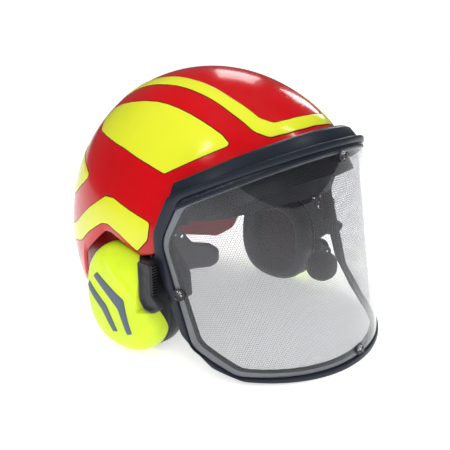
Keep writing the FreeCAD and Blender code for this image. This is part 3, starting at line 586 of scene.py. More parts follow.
def frame_pieces():
    """The frame's rounded channel, and the flange behind the clear sheet around the net, coloured pale grey
    as a painted reflection of the sheet's veil.
    """
    outer, seat, opening = (visor_loop(path) for path in (FRAME_OUTLINE, SHIELD_OUTLINE, OPENING_OUTLINE))
    channel = ((outer, 0.5, -3.0), (outer, 0.1, -2.7), (outer, 0.0, -2.0), (outer, 0.0, 2.5),
               (outer, 0.3, 3.1), (outer, 0.9, 3.4), (seat, -0.9, 3.4), (seat, -0.4, 3.2),
               (seat, -0.1, 2.7), (seat, 0.0, 1.0), (seat, 0.3, 0.8), (opening, -0.5, 0.8),
               (opening, -0.1, 0.6), (opening, 0.0, 0.2), (opening, 0.0, -1.0), (opening, -0.3, -1.4),
               (seat, 0.2, -1.4), (seat, -0.2, -1.8),
               (seat, -0.4, -3.0))
    # pale ring laid on the frame's front face: its grey is painted reflection of the clear sheet's veil
    flange = ((seat, 0.35, 0.75), (seat, 0.4, 1.05), (seat, 0.8, 1.15), (opening, -0.9, 1.15),
              (opening, -0.6, 1.0), (opening, -0.6, 0.75))
    for name, section, lowest, material in (("frame", channel, 0.0, "visor_plastic"),
                                            ("flange", flange, 0.05, "flange_grey")):
        rows = [(inset(flat, amount), offset) for flat, amount, offset in section]
        visor_ring(name, rows, lowest, material)


def shield_piece():
    """The clear sheet: one thin bent plate with rounded edges."""
    edge = inset(visor_loop(SHIELD_OUTLINE), 0.6)
    face = inset(edge, 0.8) - VISOR_MIDDLE
    flats = [inset(edge, 0.35)] + [VISOR_MIDDLE + face * (1.0 - 0.04 * i) for i in range(25)]
    flats.append(VISOR_MIDDLE + face * 0.02)
    outer_rows = [(flat, 2.4) for flat in flats[::-1]] + [(edge, 2.1)]
    stack = outer_rows + [(edge, 1.7)] + [(flat, 1.4) for flat in flats]
    loops = [visor_surface_loop(flat, offset) for flat, offset in stack]
    solid("shield", loops, "clear_sheet", "visor", "clear_shield")


def net_piece(pitch=1.75, strut=0.33):
    """The fine metal net: every hole is a real hexagon."""
    limit = inset(visor_loop(OPENING_OUTLINE), -2.0)
    low, high = limit.min(0), limit.max(0)
    columns = int((high[0] - low[0]) / pitch) + 2
    rows = int((high[1] - low[1]) / (pitch * ROW_PITCH)) + 2
    hole = (pitch - strut) / math.sqrt(3)
    turns = np.radians(np.arange(6) * 60 + 30)
    centres = np.array([(low[0] + (i + 0.5 * (j % 2)) * pitch, low[1] + j * pitch * ROW_PITCH)
                        for j in range(rows) for i in range(columns)])
    corners = centres[:, None, :] + hole * np.stack([np.cos(turns), np.sin(turns)], axis=1)[None, :, :]
    keep = inside(centres, limit)
    faces = []

    def join(*ends):
        """A face through corners of neighbouring holes, where all the holes are inside the net."""
        if all(keep[hole_index] for hole_index, _ in ends):
            faces.append(tuple(hole_index * 6 + corner_index for hole_index, corner_index in ends))

    for j in range(rows):
        shift = j % 2
        for i in range(columns - 1):
            here = j * columns + i
            right = here + 1
            join((here, 0), (here, 5), (right, 3), (right, 2))
            if j + 1 < rows and 1 <= i + shift < columns:
                above_right = here + columns + shift
                above_left = above_right - 1
                join((here, 1), (here, 0), (above_right, 4), (above_right, 3))
                join((here, 2), (here, 1), (above_left, 5), (above_left, 4))
                join((here, 0), (right, 2), (above_right, 4))
                join((here, 1), (above_right, 3), (above_left, 5))
    used, renumbered = np.unique(np.concatenate(faces), return_inverse=True)
    ends = np.cumsum([len(face) for face in faces])[:-1]
    verts = [visor_point(*corners.reshape(-1, 2)[i], -1.8) for i in used]
    make("net", verts, np.split(renumbered, ends), "mesh_steel", "visor", "visor_mesh")


def profile_rows(low, high, bevel, panel=0.0, depth=0.0):
    """Inset and height of each loop of a slab with rounded edges and, if asked, a sunken panel on top."""
    rows = [(bevel, low), (bevel * 0.3, low + bevel * 0.3), (0.0, low + bevel), (0.0, high - bevel),
            (bevel * 0.3, high - bevel * 0.3), (bevel, high)]
    if panel:
        rows += [(panel, high), (panel + 0.15, high - 0.15), (panel + 0.3, high - depth)]
    return rows


def fill(loop, spacing, margin):
    """Points and triangles over the inside of a flat closed loop."""
    grid = inner_grid(loop, spacing, margin)
    flat = [Vector(p) for p in (np.vstack([loop, grid]) if len(grid) else loop)]
    edges = [(i, (i + 1) % len(loop)) for i in range(len(loop))]
    points, _, triangles, *_ = geometry.delaunay_2d_cdt(flat, edges, [], 1, 1e-5)
    return points, triangles


def slab(name, outline, place, rows, material, body, *replaced, spacing=5.0, clearance=0.4,
         open_below=False):
    """A flat piece: place(p, height) gives the point in the frame, rows each loop's inset and height."""
    verts, faces = bridge([np.array([place(p, height) for p in inset(outline, amount)])
                           for amount, height in rows])
    verts = list(verts)
    for amount, height in rows[-1:] if open_below else (rows[0], rows[-1]):
        points, triangles = fill(inset(outline, amount), spacing, spacing * clearance)
        start = len(verts)
        verts.extend(place((p.x, p.y), height) for p in points)
        faces.extend(tuple(start + i for i in triangle) for triangle in triangles)
    make(name, verts, faces, material, body, *replaced)


def lathe(name, profile, place, axis, material, body, *replaced, scallops=0, depth=0.0):
    """A turned piece: profile is (radius, distance along the axis) from one end to the other."""
    axis = np.array(axis, float) / np.linalg.norm(axis)
    first = np.cross(axis, (0.0, 0.0, 1.0) if abs(axis[2]) < 0.9 else (0.0, 1.0, 0.0))
    first /= np.linalg.norm(first)
    second = np.cross(axis, first)
    turns = np.linspace(0.0, 2 * math.pi, 48, endpoint=False)
    groove = depth * (0.5 + 0.5 * np.cos(scallops * turns))
    loops = []
    for radius, along in profile:
        reach = np.maximum(0.01, radius - groove)
        across = np.outer(reach * np.cos(turns), first) + np.outer(reach * np.sin(turns), second)
        loops.append(np.array(place) + axis * along + across)
    solid(name, loops, material, body, *replaced)


def smooth_path(points, count):
    """Evenly spaced points on a smooth curve through the given ones."""
    points = np.array(points, float)
    padded = np.vstack([2 * points[0] - points[1], points, 2 * points[-1] - points[-2]])
    dense = []
    for i in range(len(points) - 1):
        a, b, c, d = padded[i:i + 4]
        for t in np.linspace(0, 1, 24, endpoint=False):
            dense.append(0.5 * (2 * b + (c - a) * t + (2 * a - 5 * b + 4 * c - d) * t ** 2
                                + (3 * b - a - 3 * c + d) * t ** 3))
    dense.append(points[-1])
    return resample(np.array(dense), count)


def sweep(name, path, section, material, body, *replaced, up=None):
    """A piece swept along a path: section(share of the way) gives its loop's points (across, up)."""
    loops = []
    for i, here in enumerate(path):
        tangent = path[min(i + 1, len(path) - 1)] - path[max(i - 1, 0)]
        tangent /= np.linalg.norm(tangent)
        lift = np.array(up(here) if up else (0.0, 0.0, 1.0), float)
        across = np.cross(tangent, lift)
        across /= np.linalg.norm(across)
        lift = np.cross(across, tangent)
        loops.append(np.array([here + across * a + lift * b for a, b in section(i / (len(path) - 1))]))
    return solid(name, loops, material, body, *replaced)


def waver(values, seed):
    """A smooth, repeatable wander between about -1 and 1."""
    picks = np.random.RandomState(seed)
    total = np.zeros(len(values))
    for k in range(1, 6):
        total += np.sin(values * picks.uniform(0.6, 3.2) * k + picks.uniform(0, 6.28)) / k
    return total / 1.8


# ---- brow bar ----
BROW_STANDOFF = 8.0
BROW_HALF_WIDTH = SHELL_AXES[0] * 0.88
BROW_HALF_TURN = math.radians(72.5)


def brow_upper(share):
    """Upper edge, at a share of the half width: the shell moved outwards, met by a leaning plane."""
    x = BROW_HALF_WIDTH * math.sin(math.radians(share * 80)) / math.sin(math.radians(80))
    low, high = -170.0, SHELL_CENTRE[1]
    for _ in range(40):
        y = (low + high) / 2
        edge = np.array([x, y, 173.0 - 0.56 * (y + 106.0)])
        if np.linalg.norm((edge - SHELL_CENTRE) / (SHELL_AXES + BROW_STANDOFF)) < 1.0:
            high = y
        else:
            low = y
    return edge


def brow_lower(share, radius, side_height):
    """Lower edge, at a share of the half width: on the visor's leaning cylinder, sloping back."""
    angle = BROW_HALF_TURN * share
    z = 150.0
    for _ in range(30):
        y = VISOR_NOSE_Y + VISOR_SLOPE * z + (VISOR_RADIUS - radius * math.cos(angle)) / LEAN_COS
        z = side_height - 0.53 * (y + 58.0)
    return np.array([radius * math.sin(angle), y, z])


def brow_piece():
    """The dark bar over the visor: a broad, slightly proud face between two softened edges."""
    loops = []
    for share in np.linspace(-1.0, 1.0, 141):
        upper = brow_upper(share)
        lower = brow_lower(share, VISOR_RADIUS + 3.5, 125.5)
        down = (lower - upper) / np.linalg.norm(lower - upper)
        out = lower - brow_lower(share, VISOR_RADIUS - 1.4, 126.1)
        out -= down * (out @ down)
        out /= np.linalg.norm(out)
        height = np.linalg.norm(lower - upper)
        ridge = 0.7 * min(1.0, (1.0 - abs(share)) * 7.0)
        section = [(0.0, -1.2), (0.2, -0.9), (2.6, ridge - 0.1), (3.0, ridge), (height * 0.5, ridge),
                   (height - 3.4, ridge * 0.6), (height - 3.0, ridge * 0.4), (height - 0.8, -0.3),
                   (height - 0.2, -0.6), (height, -1.1), (height - 0.2, -2.7), (height - 0.8, -3.1),
                   (1.0, -3.1), (0.2, -2.5)]
        loops.append(np.array([upper + down * a + out * b for a, b in section]))
    solid("brow", loops, "visor_plastic", "visor", "brow_bar")


# ---- studs ----
STUD_SITES = (("top", 0.0, 154.0), ("bottom", 0.0, 9.6), ("left", 1.0, 63.0), ("right", -1.0, 63.0))


def stud_frame(side, z):
    """Place on the clear sheet and direction outwards of a stud."""
    radius = VISOR_RADIUS + 2.4
    axis_y = VISOR_AXIS_Y + VISOR_SLOPE * z
    if not side:
        return np.array([0.0, axis_y - radius / LEAN_COS, z]), np.array([0.0, -LEAN_COS, LEAN_SIN])
    y = -58.5
    back = (axis_y - y) * LEAN_COS
    x = side * math.sqrt(radius ** 2 - back ** 2)
    out = np.array([x, -back * LEAN_COS, back * LEAN_SIN])
    return np.array([x, y, z]), out / np.linalg.norm(out)


def studs():
    """Clear push studs, each over a soft washer; the side ones hold the sheet and the others the net."""
    head = [(0.1, 0.8), (3.0, 0.8), (3.35, 1.0), (3.4, 1.5), (3.25, 1.9), (2.9, 2.1), (2.75, 2.35),
            (2.7, 3.3), (2.5, 3.7), (1.9, 3.95), (1.2, 3.95), (1.0, 3.6), (0.1, 3.5)]
    washer = [(0.1, 0.1), (4.3, 0.1), (4.6, 0.3), (4.6, 0.7), (4.35, 0.95), (3.9, 1.0), (3.7, 0.8),
              (0.1, 0.8)]
    for label, side, z in STUD_SITES:
        place, out = stud_frame(side, z)
        lathe("stud_" + label, head, place, out, "stud_clear", "visor", "shield_studs")
        lathe("washer_" + label, washer, place, out, "washer_grey", "visor", "stud_washers")


# ---- ear cups ----
NOTCH_X, NOTCH_Y, NOTCH_Z = 107.6, -28.2, 45.0
CUP_SQUARENESS = 2.4
FACE_POWER, FACE_ROUNDNESS, FACE_DEPTH = 4.92, 0.45, 22.2
LIP_DEPTH = 3.5
CHEVRONS = (
    [(14.6, 64.5, 1.5), (-15.5, 50.5, 4), (-22.5, 25, 1.2), (-17.6, 22.8, 1), (-9.2, 41.5, 8),
     (19.3, 60.5, 1)],
    [(26, 54.2, 1), (4.5, 40, 4), (-7, 22.2, 1), (-1.2, 20.4, 1), (11.0, 35.4, 6), (30.4, 49.0, 1)],
)


def cup_ring(turns):
    """Unit squared oval."""
    c, s = np.cos(turns), np.sin(turns)
    radius = (np.abs(c) ** CUP_SQUARENESS + np.abs(s) ** CUP_SQUARENESS) ** (-1 / CUP_SQUARENESS)
    return np.stack([radius * c, radius * s], axis=1)


def step(value, width):
    """Smooth step from 0 to 1 over a width around zero."""
    t = min(1.0, max(0.0, value / width + 0.5))
    return t * t * (3 - 2 * t)


def cup_x(y, z):
    """Distance of the cup's face from the middle plane, with its ridge, scoop and arm recess."""
    a, b = abs(y - CUP_CENTRE[0]) / CUP_HALF[0], abs(z - CUP_CENTRE[1]) / CUP_HALF[1]
    level = min(1.0, (a ** CUP_SQUARENESS + b ** CUP_SQUARENESS) ** (1 / CUP_SQUARENESS))
    x = CUP_BASE_X + LIP_DEPTH + FACE_DEPTH * (1 - level ** FACE_POWER) ** FACE_ROUNDNESS
    fade = step(0.93 - level, 0.2)
    x -= 2.6 * fade * math.exp(-((y + 19.0) / 7.5) ** 2 - ((z - 66.0) / 15.0) ** 2)
    off_ridge = (y - 9.0) * 0.60 - (z - 80.0) * 0.80
    x += 0.9 * fade * math.exp(-(off_ridge / 2.4) ** 2) * step(z - 52.0, 16.0)
    cut = step(NOTCH_Y - y, 1.6) * step(z - NOTCH_Z, 1.6)
    return x * (1 - cut) + min(x, NOTCH_X) * cut


def cup_point(sign, y, z, offset=0.0):
    x = cup_x(y, z)
    slope_y = (cup_x(y + 0.4, z) - cup_x(y - 0.4, z)) / 0.8
    slope_z = (cup_x(y, z + 0.4) - cup_x(y, z - 0.4)) / 0.8
    normal = np.array([1.0, -slope_y, -slope_z]) / math.sqrt(1 + slope_y ** 2 + slope_z ** 2)
    point = np.array([x, y, z]) + normal * offset
    return point * np.array([sign, 1.0, 1.0])


def cup_loop(sign, scale, x, count=240):
    ring = cup_ring(np.linspace(0, 2 * math.pi, count, endpoint=False))
    flat = CUP_CENTRE + ring * CUP_HALF * scale
    return np.column_stack([np.full(count, sign * x), flat])


def cup_piece(side, sign):
    """The yellow cup: a hollow shell whose face is sculpted."""
    rows = ((0.04, 21.0), (0.3, 21.0), (0.6, 19.5), (0.8, 14.0), (0.88, 6.0), (0.905, 1.0), (0.91, 0.0),
            (0.975, 0.0), (0.985, 0.3), (0.992, 1.4), (0.999, 3.0))
    loops = [cup_loop(sign, scale, CUP_BASE_X + depth) for scale, depth in rows]
    for scale in np.concatenate([[0.9995, 0.998, 0.995, 0.99, 0.983, 0.973], np.linspace(0.96, 0.04, 70)]):
        loops.append(np.array([[sign * cup_x(y, z), y, z] for _, y, z in cup_loop(sign, scale, 0.0)]))
    solid("cup_" + side, loops, "cup_yellow", "cup_" + side, "cup_shell_" + side)


def cup_trim(side, sign):
    """The two grey bent bars and the dark ring between the cup and its seal."""
    rows = profile_rows(-0.3, 0.45, 0.3)
    for index, outline in enumerate(CHEVRONS):
        slab(f"chevron_{index}_{side}", rounded(outline, step=1.5), lambda p,
             height: cup_point(sign, *p, height),
             rows, "chevron_grey", "cup_" + side, "cup_stripes_" + side, spacing=2.5)
    section = ((0.62, -0.1), (0.965, -0.1), (0.988, -0.2), (0.996, -0.6), (0.996, -1.0), (0.985, -1.15),
               (0.985, -1.35), (0.996, -1.5), (0.994, -1.9), (0.98, -2.2), (0.62, -2.2))
    loops = [cup_loop(sign, scale, CUP_BASE_X + x) for scale, x in section]
    solid("cup_base_" + side, loops, "carrier_plastic", "cup_" + side, "cup_base_plate_" + side, ring=True)


def skirt_piece(side, sign):
    """The cup's dark back: it climbs over the front flank and lines the recess behind the arm."""
    ring = cup_ring(np.radians(np.linspace(118, 262, 90)))
    heights = CUP_CENTRE[1] + ring[:, 1] * CUP_HALF[1]
    reach = np.array([0.4 + 13.0 * step(z - 38.0, 34.0) * step(84.0 - z, 8.0) for z in heights])
    reach = np.minimum(reach, NOTCH_X - CUP_BASE_X - 0.3)
    loops = []
    for share in np.linspace(0.0, 1.0, 14):
        depth = reach * share
        inner = np.clip((depth - LIP_DEPTH) / FACE_DEPTH, 0.0, 1.0)
        lip = np.where(depth < LIP_DEPTH, 0.985 + 0.015 * depth / LIP_DEPTH, 1.0)
        scale = (1 - inner ** (1 / FACE_ROUNDNESS)) ** (1 / FACE_POWER) * lip + 0.010
        loops.append(np.column_stack([sign * (CUP_BASE_X + depth),
                                      CUP_CENTRE + ring * CUP_HALF * scale[:, None]]))
    rim = loops[-1].copy()
    rim[:, 1:] = CUP_CENTRE + (rim[:, 1:] - CUP_CENTRE) * 0.982
    make("cup_skirt_" + side, *bridge(loops + [rim], closed_loops=False), "carrier_plastic", "cup_" + side)
    floor = rounded([(-29.6, 46.6, 1), (-29.6, 79, 1), (-33, 73, 3), (-37, 62, 6), (-38.4, 50, 4),
                     (-38.2, 46.6, 1)], step=1.5)
    slab("recess_lining_" + side, floor, lambda p, height: (sign * (NOTCH_X + height), *p),
         profile_rows(-0.2, 0.3, 0.1), "carrier_plastic", "cup_" + side)


def seal_piece(side, sign):
    """The ear seal: a fat ring in soft skin, with small folds on its inner side and a welded edge."""
    section = np.array([(0.90, 91.7), (0.972, 91.5), (0.978, 90.9), (0.966, 90.4), (0.990, 88.6),
                        (0.998, 85.5), (0.990, 82.0), (0.962, 78.8), (0.915, 76.6), (0.855, 75.7),
                        (0.79, 76.2), (0.725, 78.2), (0.67, 81.4), (0.632, 85.2), (0.615, 88.6),
                        (0.62, 90.8), (0.66, 91.6)])
    count = 320
    turns = np.linspace(0, 2 * math.pi, count, endpoint=False)
    slow, fine = waver(turns, 3), np.sin(turns * 46 + 2.0 * np.sin(turns * 5))
    slow = (slow + slow[::-1]) / 2
    loops = []
    for scale, x in smooth_path(section, 44):
        inward = step(0.80 - scale, 0.16)
        outward = step(scale - 0.93, 0.08)
        loop = cup_loop(sign, scale, x, count)
        fold = inward * (0.0035 * fine + 0.004 * slow) + 0.0012 * outward * fine
        loop[:, 1:] += (loop[:, 1:] - CUP_CENTRE) * fold[:, None]
        if 76.0 <= x <= 90.0:
            loop[:, 0] += sign * 0.25 * slow * (1 - outward)
        loops.append(loop)
    piece = solid("seal_" + side, loops, "seal_skin", "cup_" + side, "ear_seal_" + side, ring=True)


def lining_piece(side, sign):
    """The open-cell foam on the cup's floor: a soft disc with a few dents."""
    rows = ((0.04, 91.9), (0.15, 91.9), (0.28, 92.0), (0.40, 92.1), (0.50, 92.2), (0.60, 92.5), (0.66, 93.6),
            (0.655, 96.0), (0.60, 97.5), (0.40, 98.0), (0.2, 98.0), (0.04, 98.0))
    turns = np.linspace(0, 2 * math.pi, 160, endpoint=False)
    loops = [cup_loop(sign, scale, x, len(turns)) for scale, x in rows]
    for index in range(6):
        loops[index][:, 0] += sign * 0.5 * np.sin(turns * 3 + index) * rows[index][0]
    piece = solid("lining_" + side, loops, "foam_brown", "cup_" + side, "cup_foam_" + side)


# ---- muff arm ----
ARM_OUTLINE = [(-30, 85, 3), (-43.5, 85, 3), (-43.5, 61.5, 5), (-49.5, 58.5, 3), (-51, 53.5, 4),
               (-45, 48, 8), (-35, 48, 6), (-30.2, 55, 9)]
HINGE_X, HINGE_Z = 98.5, 82.5


def arm_piece(side, sign):
    """The grey arm beside the cup, with a sunken panel, and its knuckle under the shell's edge."""
    body = "muff_arm_" + side
    bar_rows = profile_rows(111.6, 116.6, 0.8, panel=2.2, depth=0.6)
    bridge_outline = [(-35.4, 79.7, 0.6), (-35.4, 82.0, 0.6), (-29.6, 82.0, 0.6), (-29.6, 79.7, 0.6)]
    for name, outline, rows, nodes in (
            ("muff_bar_", rounded(ARM_OUTLINE, step=1.5), bar_rows, (body,)),
            ("muff_bridge_", rounded(bridge_outline, step=2), profile_rows(99.0, 112.4, 0.3), ())):
        slab(name + side, outline, lambda p, height: (sign * height, *p), rows, "arm_grey", body, *nodes)
    knuckle = [(1.6, 0.0), (2.6, 0.0), (3.0, 0.4), (3.0, 5.8), (2.6, 6.2), (1.6, 6.2)]
    lathe("muff_knuckle_" + side, knuckle, (sign * HINGE_X, -35.6, HINGE_Z), (0, 1, 0), "arm_grey", body)


# ---- control button, boom and windscreen ----
BUTTON_PLACE = np.array([33.0, 20.5])
BUTTON_X = 104.0


def button_piece():
    """Rubber button: a domed cap on a stem."""
    away = BUTTON_PLACE - CUP_CENTRE
    profile = [(0.1, -6.5), (5.5, -6.5), (5.7, -6.2), (5.6, -5.8), (4.5, -5.4), (4.5, 1.6), (4.3, 2.3),
               (3.7, 2.9), (2.6, 3.15), (2.2, 3.0), (1.9, 2.8), (0.1, 2.75)]
    lathe("button_cap", profile, (-BUTTON_X, *BUTTON_PLACE), (0.0, *away), "button_green", "button",
          "control_button")


BOOM_PATH = ((94.3, -46.0, 41.0), (90.0, -50.0, 43.0), (80.0, -60.0, 48.0), (71.0, -68.5, 51.5),
             (65.0, -73.5, 51.0), (60.5, -73.5, 47.0), (58.5, -71.5, 41.0))
BOOM_PIVOT = (94.3, -44.0, 40.0)
SCREEN_CENTRE = np.array([58.0, -71.0, 39.5])
SCREEN_RADIUS = 13.3


def boom_piece():
    """Rod swept along a fixed bent path, with a ribbed sleeve where it leaves its hub."""
    turns = np.linspace(0, 2 * math.pi, 20, endpoint=False)

    def section(share):
        radius = 2.0 + 0.25 * math.cos(share * 2 * math.pi / 0.02) if share < 0.16 else 1.5
        return [(radius * math.cos(t), radius * math.sin(t)) for t in turns]
    sweep("boom_rod", smooth_path(BOOM_PATH, 90), section, "boom_grey", "boom", "mic_boom")
    hub = [(1.9, -2.7), (3.8, -2.7), (4.2, -2.3), (4.2, 2.3), (3.8, 2.7), (1.9, 2.7)]
    lathe("boom_hub", hub, BOOM_PIVOT, (1, 0, 0), "boom_grey", "boom", scallops=16, depth=0.25)


def windscreen_piece():
    """Foam windscreen: a slightly squared ball with a rough, pitted skin and a gathered neck."""
    ball = bmesh.new()
    bmesh.ops.create_icosphere(ball, subdivisions=6, radius=1.0)
    directions = np.array([v.co[:] for v in ball.verts])
    faces = [[v.index for v in f.verts] for f in ball.faces]
    ball.free()
    picks = np.random.RandomState(11)
    squared = np.sum(np.abs(directions) ** 2.7, axis=1) ** (-1 / 2.7)
    lumps = np.zeros(len(directions))
    for _ in range(60):
        axis = picks.normal(size=3)
        lumps += np.sin(directions @ axis * picks.uniform(3, 34) + picks.uniform(0, 6.28)) / 14
    neck = np.array([0.15, -0.2, 0.97])
    neck /= np.linalg.norm(neck)
    pucker = np.exp(-((1 - directions @ neck) / 0.03) ** 2)
    radius = (SCREEN_RADIUS * 0.955 * squared ** 0.8 + 0.22 * lumps
              + picks.uniform(-0.13, 0.13, len(directions)))
    radius = np.minimum(radius, SCREEN_RADIUS + 0.8) - 1.6 * pucker
    verts = SCREEN_CENTRE + directions * radius[:, None]
    piece = make("windscreen", verts, faces, "foam_black", "boom", "mic_windscreen")


# ---- harness ----
BAND_HALF = np.array([77.0, 99.0])


def oval_path(half_turn, grow, height, count):
    """Points round the front of the head's oval, as far as a turn to each side."""
    points = []
    for turn in np.radians(np.linspace(-half_turn, half_turn, count)):
        x, y = (BAND_HALF[0] + grow) * math.sin(turn), -(BAND_HALF[1] + grow) * math.cos(turn)
        points.append((x, y, height(y)))
    return np.array(points)


def pad_section(thick, tall, share, seams):
    """Cross-section of a sewn pad: thick and tall, thinner at its ends, drawn in at its seams."""
    end = min(1.0, math.sqrt(max(0.0, math.sin(math.pi * share))) * 2.2 + 0.12)
    points = []
    for t in np.linspace(0, 2 * math.pi, 40, endpoint=False):
        across = math.copysign(abs(math.cos(t)) ** 0.75, math.cos(t)) * thick / 2 * end
        up = math.copysign(abs(math.sin(t)) ** 0.55, math.sin(t)) * tall / 2 * (0.75 + 0.25 * end)
        for seam in seams:
            across *= 1 - 0.42 * math.exp(-((up - seam * tall) / 0.9) ** 2)
        across += 0.22 * math.sin(share * 160 + up * 0.5 + 1.0) * abs(math.cos(t))
        points.append((across, up))
    return points


def sweatband_piece():
    """Cloth-covered pad behind the forehead, quilted along two seams."""
    path = oval_path(64, -2.6, lambda y: 133.0 - 0.315 * (y + 94.0), 150)
    piece = sweep("sweatband_soft", path, lambda share: pad_section(4.6, 23.0, share, (-0.2, 0.2)),
                  "sweatband_cloth", "helmet", "sweatband")


def strap_piece(name, axis, offset, half_span, across):
    """One webbing strap under the crown along an axis, with thick woven edges."""
    axes = SHELL_AXES + offset
    turns = np.radians(np.linspace(-half_span, half_span, 90))
    path = np.tile(SHELL_CENTRE, (len(turns), 1))
    path[:, 1 - axis] = across
    path[:, axis] += axes[axis] * np.sin(turns)
    path[:, 2] += axes[2] * np.cos(turns)

    def section(share):
        sag = 0.12 * math.sin(share * 40)
        edge = 0.75 + 0.1 * math.sin(share * 700)
        return [(-11, -edge * 0.8), (-10.2, -edge), (-9, -0.6), (0, -0.55 + sag), (9, -0.6), (10.2, -edge),
                (11, -edge * 0.8), (11, edge * 0.8), (10.2, edge), (9, 0.6), (0, 0.55 + sag), (-9, 0.6),
                (-10.2, edge), (-11, edge * 0.8)]
    sweep(name, path, section, "strap_textile", "helmet", "suspension_straps",
          up=lambda here: (here - SHELL_CENTRE) / axes ** 2)


def straps():
    strap_piece("strap_across", 0, -26.0, 66, -3.0)
    strap_piece("strap_along", 1, -27.8, 45, 0.0)


# ---- nape pad ----
NAPE_OUTLINE = [(-65, 0.4, 10), (65, 0.4, 10), (65, 21, 8), (57, 27.5, 8), (42, 30, 5), (36, 38, 5),
                (28, 50, 6), (-28, 50, 6), (-36, 38, 5), (-42, 30, 5), (-57, 27.5, 8), (-65, 21, 8)]
NAPE_HALF, NAPE_CENTRE_Y = (73.0, 47.0), 34.0
NAPE_HOLES = ((-31, 38.5), (-24, 42), (-16.5, 44), (-8.5, 45), (0, 45), (8.5, 45), (16.5, 44), (24, 42),
              (31, 38.5))


def nape_point(p, offset):
    """Point of the pad: p is (distance from the middle plane, height), moved outwards."""
    turn = math.asin(p[0] / 76.0)
    return np.array([(NAPE_HALF[0] + offset) * math.sin(turn),
                     NAPE_CENTRE_Y + (NAPE_HALF[1] + offset) * math.cos(turn),
                     p[1]])


def nearest(points, targets):
    """Distance from each point to the nearest of the targets."""
    return np.min(np.linalg.norm(points[:, None, :] - targets[None, :, :], axis=2), axis=1)


def nape_pad_piece():
    """Soft moulded pad at the nape: swollen below, a thinner web with a row of holes above."""
    outline = rounded(NAPE_OUTLINE, step=1.6)
    turns = np.linspace(0, 2 * math.pi, 16, endpoint=False)
    circle = 1.7 * np.stack([np.cos(turns), np.sin(turns)], axis=1)
    holes = [np.array(middle) + circle for middle in NAPE_HOLES]
    grid = inner_grid(outline, 2.4, 1.2)
    grid = grid[nearest(grid, np.array([hole.mean(0) for hole in holes])) > 2.6]
    flat = [Vector(p) for p in np.vstack([outline, *holes, grid])]
    edges = []
    for rim in (outline, *holes):
        start = len(edges)
        edges += [(start + i, start + (i + 1) % len(rim)) for i in range(len(rim))]
    out, _, triangles, *_ = geometry.delaunay_2d_cdt(flat, edges, [], 1, 1e-5)
    points = np.array([(p.x, p.y) for p in out])
    middles = points[np.array(triangles)].mean(1)
    solid_part = nearest(middles, np.array([hole.mean(0) for hole in holes])) >= 1.6
    triangles = [tuple(triangle) for triangle, is_solid in zip(triangles, solid_part) if is_solid]
    reach = np.minimum(nearest(points, outline), nearest(points, np.vstack(holes)) + 0.3)
    swell = np.sqrt(1 - (1 - np.minimum(reach / 6.0, 1.0)) ** 2)
    web = np.array([step(38.0 - p[1], 8.0) for p in points])
    groove = (np.exp(-((points[:, 1] - 28.5) / 1.3) ** 2)
              + np.exp(-((np.abs(points[:, 0]) - 34.0) / 1.3) ** 2))
    half = (0.35 + (0.9 + 1.7 * web) * swell) * (1 - 0.3 * groove * swell * web)
    half += 0.12 * np.sin(points[:, 0] * 0.9 + 1.3 * np.sin(points[:, 1] * 0.4)) * swell
    verts = [nape_point(p, 3.0 + side * h) for side in (-1, 1) for p, h in zip(points, half)]
    count = len(points)
    faces = triangles + [tuple(count + i for i in reversed(triangle)) for triangle in triangles]
    faces += [(a, b, count + b, count + a) for a, b in edges]
    piece = make("nape_pad_soft", verts, faces, "pad_rubber", "size_adjuster", "nape_pad")


# ---- camera, light, floor ----
CAMERA_PLACE = np.array([-358.7, -332.2, 237.3])
VIEW_DIRECTION = np.array([0.7041, 0.6370, -0.3138])


def set_camera():
    data = bpy.data.cameras.new("camera")
    data.sensor_width = 36.0
    data.lens = 47.14
    camera = bpy.data.objects.new("camera", data)
    camera.location = Vector(CAMERA_PLACE * MM)
    camera.rotation_euler = Vector(VIEW_DIRECTION).to_track_quat("-Z", "Y").to_euler()
    bpy.context.scene.collection.objects.link(camera)
    bpy.context.scene.camera = camera


def softbox(name, place, size, power, shines):
    """A rectangular lamp aimed at the helmet, seen in reflections only where it shines."""
    data = bpy.data.lights.new(name, "AREA")
    data.shape = "RECTANGLE"
    data.size, data.size_y = size
    data.energy = power
    lamp = bpy.data.objects.new(name, data)
    lamp.location = place
    lamp.rotation_euler = (Vector((0.0, 0.0, 0.11)) - Vector(place)).to_track_quat("-Z", "Y").to_euler()
    lamp.visible_glossy = shines
    bpy.context.scene.collection.objects.link(lamp)


def math_node(tree, operation, *values):
    """The output of a math node fed by numbers or by other nodes' outputs."""
    node = tree.nodes.new("ShaderNodeMath")
    node.operation = operation
    for socket, value in zip(node.inputs, values):
        if isinstance(value, float):
            socket.default_value = value
        else:
            tree.links.new(value, socket)
    return node.outputs[0]


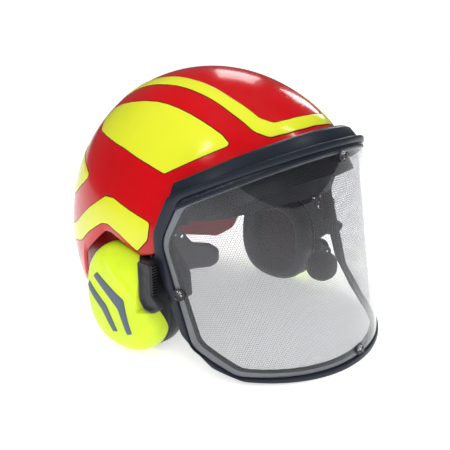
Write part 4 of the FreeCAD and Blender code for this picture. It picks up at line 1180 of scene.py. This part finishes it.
def set_world():
    """White surroundings behind the object, dimmer after a diffuse bounce and nearly dark in reflections."""
    seen, lighting, mirrored_level = 1.1, 0.42, 0.10
    world = bpy.data.worlds.new("studio")
    world.use_nodes = True
    tree = world.node_tree
    background = tree.nodes["Background"]
    background.inputs["Color"].default_value = (0.97, 0.98, 1.0, 1.0)
    path = tree.nodes.new("ShaderNodeLightPath")
    diffuse = math_node(tree, "GREATER_THAN", path.outputs["Diffuse Depth"], 0.5)
    glossy = math_node(tree, "GREATER_THAN", path.outputs["Glossy Depth"], 0.5)
    level = math_node(tree, "MULTIPLY_ADD", diffuse, lighting - seen, seen)
    level = math_node(tree, "MAXIMUM", math_node(tree, "SUBTRACT", level, glossy), mirrored_level)
    tree.links.new(level, background.inputs["Strength"])
    bpy.context.scene.world = world


def set_studio():
    """Soft fills that cast no reflections, and small bright cards that do."""
    bpy.context.scene.view_settings.view_transform = "Standard"
    set_world()
    for name, place, size, power, shines in (
            ("fill_left", (-0.75, -0.65, 0.95), (0.8, 0.8), 6.5, False),
            ("fill_top", (0.10, 0.10, 1.25), (0.9, 0.9), 5.5, False),
            ("crown_card", (0.75, 0.55, 0.86), (0.30, 0.42), 1.2, True),
            ("flank_card", (0.92, 0.22, 0.52), (0.16, 0.34), 0.7, True),
            ("panel_card", (-0.68, 0.02, 0.98), (0.05, 0.20), 0.5, True),
            ("front_card", (0.36, -0.46, 1.05), (0.05, 0.24), 0.5, True)):
        softbox(name, place, size, power, shines)


def set_floor():
    """Plain white floor that glows a little, so that it stays white under soft light."""
    mesh = bpy.data.meshes.new("floor")
    half = 6.0
    mesh.from_pydata([(-half, -half, 0), (half, -half, 0), (half, half, 0), (-half, half, 0)], [],
                     [(0, 1, 2, 3)])
    floor = bpy.data.objects.new("floor", mesh)
    bpy.context.scene.collection.objects.link(floor)
    white = Shader("floor_white", (0.93, 0.93, 0.93), 0.6, Specular_IOR_Level=0.0)
    white.set("Emission Color", (1.0, 1.0, 1.0, 1.0))
    white.set("Emission Strength", 0.62)
    mesh.materials.append(white.material)


def build():
    dress_cad_nodes()
    shell_piece()
    shell_inlays()
    frame_pieces()
    shield_piece()
    net_piece()
    brow_piece()
    studs()
    for side, sign in (("right", -1.0), ("left", 1.0)):
        for add in (cup_piece, cup_trim, skirt_piece, seal_piece, lining_piece, arm_piece):
            add(side, sign)
    for add in (button_piece, boom_piece, windscreen_piece, sweatband_piece, straps, nape_pad_piece):
        add()


set_camera()
set_studio()
set_floor()
build()
